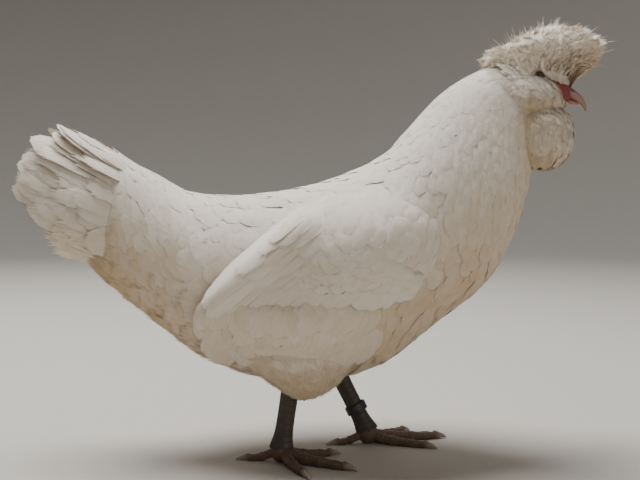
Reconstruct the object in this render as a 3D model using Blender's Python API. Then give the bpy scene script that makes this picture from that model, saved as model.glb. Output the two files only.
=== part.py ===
"""A life-size white hen with a crest, a beard and muffs, standing on both feet.

Metres, +Z up, +X towards the bill, +Y to the bird's left. The origin is on the floor,
under the middle of the bird. The body is one loft from the tail's core to the face,
parted by thin cuts. What grows from it is cut clear of it by the same thin gap.
"""

import math

import bmesh
import bpy
import numpy as np
from mathutils import Matrix, Vector
from mathutils.bvhtree import BVHTree

GAP = 0.0003
SEED = 7
LEFT = 1
RIGHT = -1
SIDE_NAMES = {LEFT: "left", RIGHT: "right"}

# A rung crosses a form in the bird's middle plane. It has an upper or front point (x, z),
# a lower or rear point (x, z), and half the form's width there.
BODY_RUNGS = (
    ((-0.174, 0.2440), (-0.188, 0.1640), 0.014),
    ((-0.159, 0.2450), (-0.171, 0.1460), 0.025),
    ((-0.142, 0.2400), (-0.153, 0.1300), 0.036),
    ((-0.124, 0.2310), (-0.132, 0.1140), 0.046),
    ((-0.100, 0.2185), (-0.110, 0.0970), 0.057),
    ((-0.066, 0.2155), (-0.082, 0.0790), 0.068),
    ((-0.028, 0.2190), (-0.040, 0.0660), 0.077),
    ((0.008, 0.2265), (0.008, 0.0650), 0.082),
    ((0.040, 0.2385), (0.056, 0.0750), 0.083),
    ((0.062, 0.2515), (0.103, 0.1100), 0.079),
    ((0.078, 0.2685), (0.145, 0.1440), 0.070),
    ((0.091, 0.2830), (0.168, 0.1850), 0.060),
    ((0.104, 0.2965), (0.178, 0.2170), 0.050),
    ((0.121, 0.3090), (0.182, 0.2380), 0.041),
    ((0.139, 0.3180), (0.187, 0.2560), 0.033),
    ((0.160, 0.3240), (0.195, 0.2720), 0.027),
    ((0.185, 0.3265), (0.204, 0.2850), 0.020),
    ((0.204, 0.3190), (0.211, 0.2890), 0.012),
)
BODY_POLES = ((-0.192, 0.207), (0.2135, 0.304))
BODY_SIDES = 20
BODY_POWER = 2.25
RUNG_STEPS = 2
SHARP_ANGLE = 40

# The cuts that part the body: a point on the back and one on the underside (x, z).
RUMP_CUT = ((-0.120, 0.229), (-0.129, 0.112))
NECK_CUT = ((0.050, 0.244), (0.171, 0.192))
HEAD_CUT = ((0.135, 0.317), (0.187, 0.247))

# The tail's feathers in pairs, from the top one down: the root and tip (x, z), then how far
# out from the middle plane the root and the tip are, and how far the feather leans upwards.
TAIL_TOP = ((-0.134, 0.2290), (-0.2060, 0.2695), 0.0098, 0.0098, 0.85)
TAIL_MIDDLE = ((-0.138, 0.2080), (-0.2405, 0.2380), 0.0120, 0.0190, 0.35)
TAIL_LOW = ((-0.140, 0.1860), (-0.2300, 0.2030), 0.014, 0.026, 0.10)
TAIL_PAIRS = 6
TAIL_HALF_WIDTH = 0.0140
TAIL_THICKNESS = 0.0010
TAIL_ROLL = 0.17
TAIL_BOW = 0.0010
COVERT_SHARES = (0.06, 0.92)
TAIL_COVERTS = ((3, 0.60, 0.0046), (2, 0.40, 0.0090))
# The soft feathers that close the tail from below, told in the same way.
UNDER_TOP = ((-0.150, 0.1830), (-0.2270, 0.1960), 0.0160, 0.0230, 0.00)
UNDER_MIDDLE = ((-0.150, 0.1720), (-0.2150, 0.1820), 0.0130, 0.0160, -0.55)
UNDER_LOW = ((-0.150, 0.1640), (-0.2020, 0.1700), 0.0060, 0.0060, -1.10)
UNDER_PAIRS = 4
UNDER_HALF_WIDTH = 0.0105

# The wing: the flight feathers' roots and tips (x, z), from the longest feather forwards.
WING_ROOTS = (
    (0.004, 0.2050), (0.022, 0.1990), (0.040, 0.1910),
    (0.055, 0.1810), (0.066, 0.1710), (0.073, 0.1610),
)
WING_TIPS = (
    (-0.0850, 0.1345), (-0.0735, 0.1225), (-0.0340, 0.1290),
    (0.0090, 0.1345), (0.0420, 0.1315), (0.0680, 0.1380),
)
# Each tier of the wing: how many feathers, how much of the length, half width, how far out.
WING_TIERS = ((9, 1.00, 0.0092, 0.0032), (7, 0.60, 0.0094, 0.0060), (5, 0.36, 0.0096, 0.0088))
# The longest feathers stand out a little more, less and less over this share of the wing.
WING_BAND = 0.0022
WING_BAND_SHARE = 0.3
WING_ROLL = 0.12
WING_THICKNESS = 0.0009
# The wing's fleshy part: x, the lower edge's height and the upper edge's height.
WING_STATIONS = (
    (0.079, 0.152, 0.171),
    (0.070, 0.145, 0.184),
    (0.046, 0.150, 0.203),
    (0.016, 0.163, 0.213),
    (-0.008, 0.177, 0.209),
    (-0.022, 0.186, 0.199),
)
WING_POLES = ((0.083, 0.162), (-0.027, 0.1925))
WING_PROUD = 0.0085
WING_DEPTH = 0.006
LENS_SIDES = 12
TIER_READS = 10

# Each tuft has rungs where its locks' tips lie, the place that the locks fan out from, and a
# centre that their broad sides turn away from.
CREST_RUNGS = (
    ((0.2280, 0.3190), (0.141, 0.3190), 0.037),
    ((0.2400, 0.3300), (0.140, 0.3270), 0.041),
    ((0.2420, 0.3400), (0.150, 0.3380), 0.038),
    ((0.2320, 0.3490), (0.166, 0.3470), 0.029),
    ((0.2150, 0.3545), (0.186, 0.3535), 0.015),
)
CREST_FAN = (0.1900, 0.0, 0.3230)
CREST_CENTRE = (0.1900, 0.0, 0.3080)
CREST_COUNTS = (10, 8, 7, 5, 3)
CREST_HALF_WIDTH = 0.0086
BEARD_RUNGS = (
    ((0.2155, 0.2740), (0.172, 0.2740), 0.0275),
    ((0.2180, 0.2640), (0.168, 0.2630), 0.0290),
    ((0.2155, 0.2510), (0.170, 0.2500), 0.0240),
    ((0.2070, 0.2420), (0.178, 0.2420), 0.0140),
)
BEARD_FAN = (0.1950, 0.0, 0.2830)
BEARD_CENTRE = (0.1900, 0.0, 0.2600)
BEARD_COUNTS = (6, 5, 4, 2)
BEARD_HALF_WIDTH = 0.0072
BEARD_TURNS = (-2.0, 2.0)
# The muffs, told like the wings: roots by the corner of the mouth, tips back along the cheek.
MUFF_ROOTS = ((0.1800, 0.3030), (0.1850, 0.3010), (0.1890, 0.2980), (0.1910, 0.2950), (0.1925, 0.2925))
MUFF_TIPS = ((0.1530, 0.3085), (0.1440, 0.2970), (0.1430, 0.2840), (0.1530, 0.2735), (0.1680, 0.2700))
MUFF_TIERS = ((5, 1.00, 0.0074, 0.0040), (4, 0.74, 0.0074, 0.0075), (2, 0.50, 0.0076, 0.0105))
MUFF_BOW = 0.0030
MUFF_STATIONS = (
    (0.1880, 0.2900, 0.3000),
    (0.1800, 0.2815, 0.3030),
    (0.1700, 0.2790, 0.3035),
    (0.1610, 0.2820, 0.3020),
    (0.1550, 0.2865, 0.2985),
)
MUFF_POLES = ((0.1910, 0.2955), (0.1520, 0.2925))
MUFF_PROUD = 0.0070
MUFF_DEPTH = 0.0050
# The line on the cheek where the muff ends and the beard begins (x, z).
LOBE_CUT = ((0.1940, 0.2946), (0.1685, 0.2743))
CORE_REACH = 0.46
CORE_SIDES = 12
CORE_SINK = 0.006
CORE_RISE = 0.004
ROOT_REACH = 0.32
LOCK_THICKNESS = 0.0009
LOCK_ROLL = 0.35
# How much the locks differ: in reach, in angle as a share of their step, and in width.
LOCK_SHORT = 0.12
LOCK_TURN = 0.2
LOCK_WIDTHS = (0.85, 1.1)
# Each lock of a tuft bows up and in by these shares of its length.
LOCK_BOW_UP = 0.16
LOCK_BOW_IN = 0.04

# Places along a feather and its width there, as shares of its length and its half width.
FLIGHT_SHAPE = ((0.0, 0.65), (0.50, 1.00), (0.90, 0.84), (1.0, 0.30))
LOCK_SHAPE = ((0.0, 0.28), (0.45, 0.90), (0.80, 0.85), (1.0, 0.20))
VANE_TAPER = 0.6

UPPER_BILL_RUNGS = (
    ((0.2030, 0.3085), (0.1985, 0.2966), 0.0085),
    ((0.2105, 0.3064), (0.2055, 0.2958), 0.0079),
    ((0.2165, 0.3035), (0.2125, 0.2943), 0.0069),
    ((0.2215, 0.2995), (0.2175, 0.2922), 0.0055),
    ((0.2252, 0.2948), (0.2220, 0.2897), 0.0038),
    ((0.2272, 0.2895), (0.2252, 0.2868), 0.0019),
)
UPPER_BILL_POLES = ((0.199, 0.3025), (0.2272, 0.2846))
LOWER_BILL_RUNGS = (
    ((0.1990, 0.2972), (0.2005, 0.2886), 0.0070),
    ((0.2060, 0.2964), (0.2060, 0.2882), 0.0066),
    ((0.2125, 0.2948), (0.2115, 0.2882), 0.0055),
    ((0.2175, 0.2926), (0.2165, 0.2884), 0.0038),
)
LOWER_BILL_POLES = ((0.197, 0.2930), (0.2205, 0.2896))
BILL_SIDES = 14
BILL_POWER = 2.2
NOSTRIL = (0.2145, 0.0060, 0.3010)
NOSTRIL_RADIUS = 0.0011
NOSTRIL_DEPTH = 0.0050
MOUTH_CORNER = (0.1955, 0.2970)
MOUTH_SLIT = (0.026, 0.012, 0.0008)
MOUTH_SLOPE = 0.10
MOUTH_TURN = 0.42

EYE_X = 0.1835
EYE_Z = 0.3105
EYE_RADIUS = 0.0052
EYE_DEPTH = 0.0026
LID_RADIUS = 0.0049
LID_THICKNESS = 0.0011
LID_ROOM = 0.0023

COMB_HORNS = (0.2075, 0.0035, 0.3130)
COMB_RADIUS = 0.0026
COMB_LENGTH = 0.0110
COMB_SPREAD = 0.35
COMB_TILT = 0.9
COMB_BASE = (0.0050, 0.0065, 0.0037)
COMB_BASE_DROP = 0.00275
# The room that the crest leaves for the comb and the top of the bill: two corners.
COMB_ROOM = ((0.2015, -0.011, 0.300), (0.2400, 0.011, 0.320))

# The legs: each has the ankle's and the hock's place (x, y, z), and the fluff round its thigh.
ANKLES = {RIGHT: (-0.0235, -0.030, 0.0105), LEFT: (0.0490, 0.030, 0.0105)}
HOCKS = {RIGHT: (-0.0115, -0.033, 0.0900), LEFT: (0.0125, 0.033, 0.0830)}
SHANK_SIDE = 0.0054
SHANK_DEEP = 0.0064
SHANK_SIDES = 12
SHANK_START = 0.0110
SHANK_TOP = 0.0560
SHANK_PLATES = 9
SHANK_LIFT = 0.0006
SHANK_CAP = 0.0006
SHANK_FLARE = 0.16
# How square the raised plates' outline is across a limb, and how steep each plate's edge is.
PLATE_POWER = 0.6
PLATE_EDGE = 0.06
SOCKET_ROOM = 0.0004
THIGH_RUNGS = (
    ((0.030, 0.112), (-0.046, 0.112), 0.030),
    ((0.026, 0.092), (-0.040, 0.092), 0.029),
    ((0.022, 0.074), (-0.030, 0.074), 0.026),
    ((0.016, 0.061), (-0.024, 0.061), 0.019),
    ((0.006, 0.0545), (-0.016, 0.0545), 0.010),
)
THIGH_POLES = ((-0.005, 0.120), (-0.005, 0.0530))
THIGH_Y = 0.036
THIGH_SHIFT = {RIGHT: (0.0, 0.0), LEFT: (0.026, 0.004)}
THIGH_SIDES = 14
THIGH_POWER = 2.2

# Each toe: its tip from the ankle (x, outwards y), its base radius, tip radius and plates.
TOES = {
    RIGHT: {
        "middle": ((0.0505, 0.0250), 0.0052, 0.0034, 6),
        "inner": ((0.0385, -0.0180), 0.0047, 0.0031, 4),
        "outer": ((0.0190, 0.0430), 0.0046, 0.0031, 4),
        "hind": ((-0.0270, -0.0040), 0.0040, 0.0027, 3),
    },
    LEFT: {
        "middle": ((0.0600, 0.0160), 0.0052, 0.0034, 6),
        "inner": ((0.0480, -0.0170), 0.0047, 0.0031, 4),
        "outer": ((0.0330, 0.0370), 0.0046, 0.0031, 4),
        "hind": ((-0.0260, -0.0060), 0.0040, 0.0027, 3),
    },
}
TOE_SIDES = 8
TOE_READS = 60
TOE_PADS = 3
TOE_LIFT = 0.0005
TOE_PAD_SWELL = 0.12
TOE_ARCH = 0.0012
FLAT_DEPTH = 0.0010
CLAW_LENGTH = 0.0105
CLAW_DROP = 0.0018
CLAW_TIP_RADIUS = 0.0005
CLAW_BASE_SHARE = 0.86
CLAW_TAPER = 0.8
CLAW_ARCH = 0.0006
CLAW_CLEAR = 0.00005
CLAW_SIDES = 6
CLAW_RINGS = 4
BALL_RADIUS = 0.0092
BALL_HEIGHT = 0.0083
TOE_DROP = 0.0115

RING_INNER = 0.0080
RING_OUTER = 0.0093
RING_HEIGHT = 0.0070
RING_UP = 0.0190
RING_SIDES = 20

BIG = 0.6

COLOURS = {
    "feather": ((0.80, 0.77, 0.72, 1.0), 0.85),
    "bill": ((0.66, 0.45, 0.38, 1.0), 0.45),
    "comb": ((0.36, 0.04, 0.04, 1.0), 0.50),
    "eye": ((0.05, 0.02, 0.01, 1.0), 0.10),
    "shank": ((0.16, 0.15, 0.13, 1.0), 0.55),
    "claw": ((0.50, 0.42, 0.36, 1.0), 0.45),
    "ring": ((0.02, 0.02, 0.02, 1.0), 0.40),
}


def clear_scene():
    for old in list(bpy.data.objects):
        bpy.data.objects.remove(old, do_unlink=True)


def new_collection(name):
    collection = bpy.data.collections.new(name)
    bpy.context.scene.collection.children.link(collection)
    return collection


def make_materials():
    made = {}
    for name, (colour, roughness) in COLOURS.items():
        material = bpy.data.materials.new(name)
        material.use_nodes = True
        shader = material.node_tree.nodes["Principled BSDF"]
        shader.inputs["Base Color"].default_value = colour
        shader.inputs["Roughness"].default_value = roughness
        shader.inputs["Metallic"].default_value = 0.0
        made[name] = material
    return made


def smooth_rows(rows, steps):
    """Rows read from a Catmull-Rom curve through the given rows, both ends included."""
    rows = np.array(rows, float)
    padded = np.vstack((2 * rows[0] - rows[1], rows, 2 * rows[-1] - rows[-2]))
    before, start, end, after = padded[:-3], padded[1:-2], padded[2:-1], padded[3:]
    spans = []
    for step in range(steps):
        t = step / steps
        bend = 2 * before - 5 * start + 4 * end - after
        twist = 3 * start - before - 3 * end + after
        spans.append(start + 0.5 * (end - before) * t + 0.5 * bend * t**2 + 0.5 * twist * t**3)
    read = np.stack(spans, axis=1).reshape(-1, rows.shape[1])
    return np.vstack((read, rows[-1]))


def round_pair(sides, power):
    """Cosine and sine of a ring of angles, squared off by a superellipse power."""
    angles = np.linspace(0, 2 * math.pi, sides, endpoint=False)
    pair = np.stack((np.cos(angles), np.sin(angles)))
    return np.sign(pair) * np.abs(pair) ** (2 / power)


def ring_shell(rings, start, end):
    """Points and faces of a closed form through rings of points, with a pole past each end."""
    count, sides = rings.shape[:2]
    points = np.vstack((rings.reshape(-1, 3), [start], [end]))
    faces = []
    for ring in range(count - 1):
        for side in range(sides):
            near = ring * sides + side
            beside = ring * sides + (side + 1) % sides
            faces.append((near, beside, beside + sides))
            faces.append((near, beside + sides, near + sides))
    last = (count - 1) * sides
    for side in range(sides):
        beside = (side + 1) % sides
        faces.append((count * sides, beside, side))
        faces.append((count * sides + 1, last + side, last + beside))
    return points, faces


def mesh_object(name, points, faces):
    mesh = bpy.data.meshes.new(name)
    mesh.from_pydata([tuple(point) for point in points], [], faces)
    shape = bmesh.new()
    shape.from_mesh(mesh)
    bmesh.ops.recalc_face_normals(shape, faces=shape.faces)
    shape.to_mesh(mesh)
    shape.free()
    made = bpy.data.objects.new(name, mesh)
    bpy.context.scene.collection.objects.link(made)
    return made


def rung_rings(rungs, sides, power, steps, grow, y):
    """Rings through rungs: the rung times cosine plus the half width along Y times sine."""
    rows = smooth_rows([(*high, *low, half) for high, low, half in rungs], steps)
    along, across = round_pair(sides, power)
    middle = (rows[:, 0:2] + rows[:, 2:4]) / 2
    reach = (rows[:, 0:2] - rows[:, 2:4]) / 2
    length = np.linalg.norm(reach, axis=1, keepdims=True)
    reach = reach * (1 + grow / length)
    half = rows[:, 4] + grow
    flat = middle[:, None, :] + reach[:, None, :] * along[None, :, None]
    wide = y + half[:, None] * across[None, :]
    return np.stack((flat[..., 0], wide, flat[..., 1]), axis=-1)


def grown_pole(pole, ring, grow, y):
    point = np.array((pole[0], y, pole[1]))
    away = point - ring.mean(axis=0)
    return point + away / np.linalg.norm(away) * grow


def rung_loft(name, rungs, poles, sides, power=2.0, steps=RUNG_STEPS, grow=0.0, y=0.0):
    rings = rung_rings(rungs, sides, power, steps, grow, y)
    start = grown_pole(poles[0], rings[0], grow, y)
    end = grown_pole(poles[1], rings[-1], grow, y)
    points, faces = ring_shell(rings, start, end)
    return mesh_object(name, points, faces)


def body_loft(name, grow=0.0):
    return rung_loft(name, BODY_RUNGS, BODY_POLES, BODY_SIDES, BODY_POWER, RUNG_STEPS, grow)


def largest_shell(mesh):
    """Keep only the widest closed surface, facing outwards."""
    shape = bmesh.new()
    shape.from_mesh(mesh)
    waiting = set(shape.faces)
    shells = []
    while waiting:
        front = [waiting.pop()]
        shell = list(front)
        while front:
            for edge in front.pop().edges:
                for face in edge.link_faces:
                    if face in waiting:
                        waiting.remove(face)
                        front.append(face)
                        shell.append(face)
        shells.append(shell)
    sizes = []
    for shell in shells:
        reach = Vector((0, 0, 0))
        for axis in range(3):
            values = [vert.co[axis] for face in shell for vert in face.verts]
            reach[axis] = max(values) - min(values)
        sizes.append(reach.length)
    keep = shells[sizes.index(max(sizes))]
    extra = set(shape.faces) - set(keep)
    bmesh.ops.delete(shape, geom=list(extra), context="FACES")
    bmesh.ops.triangulate(shape, faces=shape.faces)
    bmesh.ops.recalc_face_normals(shape, faces=shape.faces)
    shape.to_mesh(mesh)
    shape.free()


def combine(piece, others, operation):
    """Apply one Boolean of a whole group of closed meshes to a piece, and remove the group."""
    group = bpy.data.collections.new(piece.name + "_cutters")
    bpy.context.scene.collection.children.link(group)
    for other in others:
        group.objects.link(other)
        other.hide_render = True
        other.display_type = "WIRE"
    cut = piece.modifiers.new(operation.lower(), "BOOLEAN")
    cut.operation = operation
    cut.operand_type = "COLLECTION"
    cut.collection = group
    cut.solver = "MANIFOLD"
    depsgraph = bpy.context.evaluated_depsgraph_get()
    depsgraph.update()
    result = bpy.data.meshes.new_from_object(piece.evaluated_get(depsgraph))
    piece.modifiers.clear()
    old = piece.data
    piece.data = result
    bpy.data.meshes.remove(old)
    for other in others:
        bpy.data.objects.remove(other, do_unlink=True)
    bpy.data.collections.remove(group)
    largest_shell(piece.data)
    return piece


def apply_place(piece):
    """Move a primitive's place into its mesh, with its object left at the origin."""
    bpy.context.view_layer.update()
    piece.data.transform(piece.matrix_world)
    piece.matrix_world = Matrix.Identity(4)
    return piece


def half_space(cut, side, gap):
    """A big block on one side of a cut, its face set back from the cut by half the gap."""
    high = Vector((cut[0][0], 0, cut[0][1]))
    low = Vector((cut[1][0], 0, cut[1][1]))
    up = (high - low).normalized()
    ahead = up.cross(Vector((0, 1, 0))).normalized()
    if ahead.x < 0:
        ahead = -ahead
    turn = Matrix((ahead, Vector((0, 1, 0)), up)).transposed().to_4x4()
    middle = (high + low) / 2 + ahead * side * (BIG / 2 - gap / 2)
    bpy.ops.mesh.primitive_cube_add(size=BIG)
    block = bpy.context.object
    block.matrix_world = Matrix.Translation(middle) @ turn
    return apply_place(block)


def flat_block(low, high):
    bpy.ops.mesh.primitive_cube_add(size=1.0)
    block = bpy.context.object
    block.location = (Vector(low) + Vector(high)) / 2
    block.scale = Vector(high) - Vector(low)
    return apply_place(block)


class Skin:
    """The body's surface, read by rays from the side."""

    def __init__(self):
        rings = rung_rings(BODY_RUNGS, BODY_SIDES, BODY_POWER, RUNG_STEPS, 0.0, 0.0)
        start = grown_pole(BODY_POLES[0], rings[0], 0.0, 0.0)
        end = grown_pole(BODY_POLES[1], rings[-1], 0.0, 0.0)
        points, faces = ring_shell(rings, start, end)
        self.tree = BVHTree.FromPolygons([Vector(point) for point in points], faces)

    def side(self, x, z, side):
        """The point and outward normal of the body's side at x and z."""
        place, normal, _, _ = self.tree.ray_cast(Vector((x, side * BIG, z)), Vector((0, -side, 0)))
        if normal.y * side < 0:
            normal = -normal
        return place, normal


def finish_node(piece, name, material, home):
    piece.name = name
    piece.data.name = name
    piece.data.materials.clear()
    piece.data.materials.append(material)
    piece.data.shade_smooth()
    piece.data.set_sharp_from_angle(angle=math.radians(SHARP_ANGLE))
    for holder in list(piece.users_collection):
        holder.objects.unlink(piece)
    home.objects.link(piece)


def make_torso():
    torso = body_loft("torso")
    return combine(torso, [half_space(RUMP_CUT, -1, GAP), half_space(NECK_CUT, 1, GAP)], "DIFFERENCE")


def make_neck():
    neck = body_loft("neck")
    return combine(neck, [half_space(NECK_CUT, -1, GAP), half_space(HEAD_CUT, 1, GAP)], "DIFFERENCE")


def eye_place(skin, side):
    place, normal = skin.side(EYE_X, EYE_Z, side)
    return place - normal * EYE_DEPTH, place, normal


def eye_ball(skin, side, grow):
    centre, _, _ = eye_place(skin, side)
    bpy.ops.mesh.primitive_uv_sphere_add(segments=14, ring_count=8, radius=EYE_RADIUS + grow)
    ball = bpy.context.object
    ball.location = centre
    return apply_place(ball)


def eye_lid(skin, side):
    """A soft ring that stands round the eye."""
    _, place, normal = eye_place(skin, side)
    bpy.ops.mesh.primitive_torus_add(major_segments=12, minor_segments=4,
                                     major_radius=LID_RADIUS, minor_radius=LID_THICKNESS)
    lid = bpy.context.object
    lid.matrix_world = Matrix.Translation(place) @ normal.to_track_quat("Z", "Y").to_matrix().to_4x4()
    return apply_place(lid)


def mouth_slit(skin, side):
    """A thin block that cuts the line of the mouth into the cheek."""
    place, _ = skin.side(MOUTH_CORNER[0] + MOUTH_SLIT[0] / 2, MOUTH_CORNER[1], side)
    bpy.ops.mesh.primitive_cube_add(size=1.0)
    slit = bpy.context.object
    slit.scale = MOUTH_SLIT
    apply_place(slit)
    turn = Matrix.Rotation(-side * MOUTH_TURN, 4, "Z") @ Matrix.Rotation(MOUTH_SLOPE, 4, "Y")
    slit.matrix_world = Matrix.Translation(place + Vector((0, side * MOUTH_SLIT[1] / 3, 0))) @ turn
    return apply_place(slit)


def make_head(skin):
    head = body_loft("head")
    combine(head, [half_space(HEAD_CUT, -1, GAP)], "DIFFERENCE")
    combine(head, [eye_lid(skin, LEFT), eye_lid(skin, RIGHT)], "UNION")
    cutters = [eye_ball(skin, LEFT, GAP), eye_ball(skin, RIGHT, GAP)]
    cutters += [mouth_slit(skin, LEFT), mouth_slit(skin, RIGHT)]
    return combine(head, cutters, "DIFFERENCE")


def upper_bill(name, grow=0.0):
    return rung_loft(name, UPPER_BILL_RUNGS, UPPER_BILL_POLES, BILL_SIDES, BILL_POWER, RUNG_STEPS, grow)


def make_upper_bill():
    bill = upper_bill("bill_upper")
    cutters = [body_loft("body_room", GAP)]
    for side in (LEFT, RIGHT):
        bpy.ops.mesh.primitive_cylinder_add(vertices=10, radius=NOSTRIL_RADIUS, depth=NOSTRIL_DEPTH)
        hole = bpy.context.object
        hole.location = (NOSTRIL[0], side * (NOSTRIL[1] + NOSTRIL_DEPTH / 3), NOSTRIL[2])
        hole.rotation_euler = (math.pi / 2, 0, 0)
        cutters.append(apply_place(hole))
    return combine(bill, cutters, "DIFFERENCE")


def lower_bill(name, grow=0.0):
    return rung_loft(name, LOWER_BILL_RUNGS, LOWER_BILL_POLES, BILL_SIDES, BILL_POWER, RUNG_STEPS, grow)


def make_lower_bill():
    bill = lower_bill("bill_lower")
    return combine(bill, [body_loft("body_room", GAP), upper_bill("bill_room", GAP)], "DIFFERENCE")


def make_comb():
    """Two small horns of flesh, side by side in front of the crest."""
    horns = []
    for side in (LEFT, RIGHT):
        bpy.ops.mesh.primitive_cone_add(vertices=8, radius1=COMB_RADIUS, radius2=COMB_RADIUS / 4,
                                        depth=COMB_LENGTH)
        horn = bpy.context.object
        horn.location = (COMB_HORNS[0], side * COMB_HORNS[1], COMB_HORNS[2])
        horn.rotation_euler = (-side * COMB_SPREAD, COMB_TILT, 0)
        horns.append(apply_place(horn))
    bpy.ops.mesh.primitive_uv_sphere_add(segments=10, ring_count=6, radius=1.0)
    base = bpy.context.object
    base.location = (COMB_HORNS[0], 0, COMB_HORNS[2] - COMB_BASE_DROP)
    base.scale = COMB_BASE
    apply_place(base)
    combine(base, horns, "UNION")
    return combine(base, [body_loft("body_room", GAP), upper_bill("bill_room", GAP)], "DIFFERENCE")


def tuft_core(name, rungs, fan):
    """The solid middle of a tuft: its outline drawn in towards the place it fans out from."""
    middle = np.array(fan)
    rings = rung_rings(rungs, CORE_SIDES, 2.0, 1, 0.0, 0.0)
    ends = [rings[0].mean(axis=0), rings[-1].mean(axis=0)]
    rings = middle + (rings - middle) * CORE_REACH
    start, end = [middle + (point - middle) * CORE_REACH for point in ends]
    if end[2] > middle[2] and start[2] > middle[2] - CORE_RISE:
        start[2] = middle[2] - CORE_SINK
    if end[2] < middle[2]:
        start[2] = middle[2] + CORE_RISE
    return mesh_object(name, *ring_shell(rings, start, end))


def tuft_locks(rungs, counts, fan, centre, half_width, turns, draw):
    """Locks in tiers, with their tips on the tuft's rungs, turned about the middle of each."""
    middle = np.array(fan)
    locks = []
    for tier, ((high, low, half), count) in enumerate(zip(rungs, counts)):
        first = 0.5 if turns[1] < math.pi else 0.5 * (tier % 2)
        for step in (np.arange(count) + first) / count:
            step = step + draw.uniform(-LOCK_TURN, LOCK_TURN) / count
            angle = turns[0] + (turns[1] - turns[0]) * step
            reach = 1 - draw.uniform(0, LOCK_SHORT)
            x = (high[0] + low[0]) / 2 + (high[0] - low[0]) / 2 * math.cos(angle)
            z = (high[1] + low[1]) / 2 + (high[1] - low[1]) / 2 * math.cos(angle)
            tip = np.array((x, half * math.sin(angle), z))
            root = middle + (tip - middle) * ROOT_REACH
            tip = middle + (tip - middle) * reach
            out = tip - middle
            side = unit(np.array((out[0], out[1], 0.0)) + 1e-9)
            bow = (np.array((0.0, 0.0, LOCK_BOW_UP)) - side * LOCK_BOW_IN) * np.linalg.norm(out)
            width = half_width * draw.uniform(*LOCK_WIDTHS)
            locks.append(lock(root, tip, bow, centre, LOCK_SHAPE, width, LOCK_THICKNESS))
    return locks


def make_crest(skin, draw):
    crest = tuft_core("crest", CREST_RUNGS, CREST_FAN)
    shape = (CREST_RUNGS, CREST_COUNTS, CREST_FAN, CREST_CENTRE, CREST_HALF_WIDTH)
    locks = tuft_locks(*shape, (0, 2 * math.pi), draw)
    combine(crest, locks, "UNION")
    cutters = [body_loft("body_room", GAP), flat_block(*COMB_ROOM), upper_bill("bill_room", GAP)]
    cutters += [eye_ball(skin, side, LID_ROOM) for side in SIDE_NAMES]
    return combine(crest, cutters, "DIFFERENCE")


def make_beard(draw):
    beard = tuft_core("beard", BEARD_RUNGS, BEARD_FAN)
    shape = (BEARD_RUNGS, BEARD_COUNTS, BEARD_FAN, BEARD_CENTRE, BEARD_HALF_WIDTH)
    locks = tuft_locks(*shape, BEARD_TURNS, draw)
    combine(beard, locks, "UNION")
    cutters = [body_loft("body_room", GAP), upper_bill("bill_room", GAP), lower_bill("bill_room", GAP)]
    cutters.append(half_space(LOBE_CUT, -1, GAP))
    return combine(beard, cutters, "DIFFERENCE")


def side_lens(name, skin, side, stations, poles, proud, depth):
    """A lens on the body's side: each station has its x and its lower and upper height."""
    angles = np.linspace(0, 2 * math.pi, LENS_SIDES, endpoint=False)
    rings = []
    for x, low, high in stations:
        ring = []
        for angle in angles:
            z = (low + high) / 2 + (high - low) / 2 * math.cos(angle)
            place, normal = skin.side(x, z, side)
            bulge = math.sin(angle) * (proud if math.sin(angle) > 0 else depth)
            ring.append(place + normal * bulge)
        rings.append(ring)
    ends = [skin.side(x, z, side)[0] for x, z in poles]
    return mesh_object(name, *ring_shell(np.array(rings), *ends))


def side_vane(skin, side, root, tip, out, bow, half_width, form):
    """A feather that lies along the body's side, its lower edge raised over the next one."""
    shape, thickness, roll = form
    places = np.array([place for place, _ in shape])
    path = []
    normals = []
    for place, (x, z) in zip(places, root + (tip - root) * places[:, None]):
        point, normal = skin.side(x, z, side)
        path.append(point + normal * (out + bow * 4 * place * (1 - place)))
        normals.append(normal)
    return vane(np.array(path), np.array(normals), shape, half_width, thickness, side * roll)


def side_tiers(skin, side, roots, tips, tiers, bow, form, band=0.0):
    """Tiers of feathers along the body's side, from the longest feather of each forwards."""
    roots = smooth_rows(roots, TIER_READS)
    tips = smooth_rows(tips, TIER_READS)
    vanes = []
    for count, reach, half_width, out in tiers:
        for step in np.linspace(0, 1, count):
            row = step * (len(roots) - 1)
            root = np.array([np.interp(row, range(len(roots)), roots[:, axis]) for axis in (0, 1)])
            tip = np.array([np.interp(row, range(len(tips)), tips[:, axis]) for axis in (0, 1)])
            tip = root + (tip - root) * reach
            extra = band * max(0.0, 1 - step / WING_BAND_SHARE)
            vanes.append(side_vane(skin, side, root, tip, out + extra, bow, half_width, form))
    return vanes


def make_muff(skin, side):
    muff = side_lens("muff", skin, side, MUFF_STATIONS, MUFF_POLES, MUFF_PROUD, MUFF_DEPTH)
    form = (LOCK_SHAPE, LOCK_THICKNESS, WING_ROLL)
    combine(muff, side_tiers(skin, side, MUFF_ROOTS, MUFF_TIPS, MUFF_TIERS, MUFF_BOW, form), "UNION")
    cutters = [body_loft("body_room", GAP), upper_bill("bill_room", GAP)]
    cutters += [eye_ball(skin, side, LID_ROOM), half_space(LOBE_CUT, 1, GAP)]
    return combine(muff, cutters, "DIFFERENCE")


def make_wing(skin, side):
    wing = side_lens("wing", skin, side, WING_STATIONS, WING_POLES, WING_PROUD, WING_DEPTH)
    form = (FLIGHT_SHAPE, WING_THICKNESS, WING_ROLL)
    vanes = side_tiers(skin, side, WING_ROOTS, WING_TIPS, WING_TIERS, 0.0, form, WING_BAND)
    combine(wing, vanes, "UNION")
    return combine(wing, [body_loft("body_room", GAP)], "DIFFERENCE")


def between(low, middle, high, share):
    """A quadratic blend of three like rows of numbers, met at shares 0, one half and 1."""
    low, middle, high = np.array(low), np.array(middle), np.array(high)
    bend = 2 * (low + high - 2 * middle)
    return low + (high - low - bend) * share + bend * share**2


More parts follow.
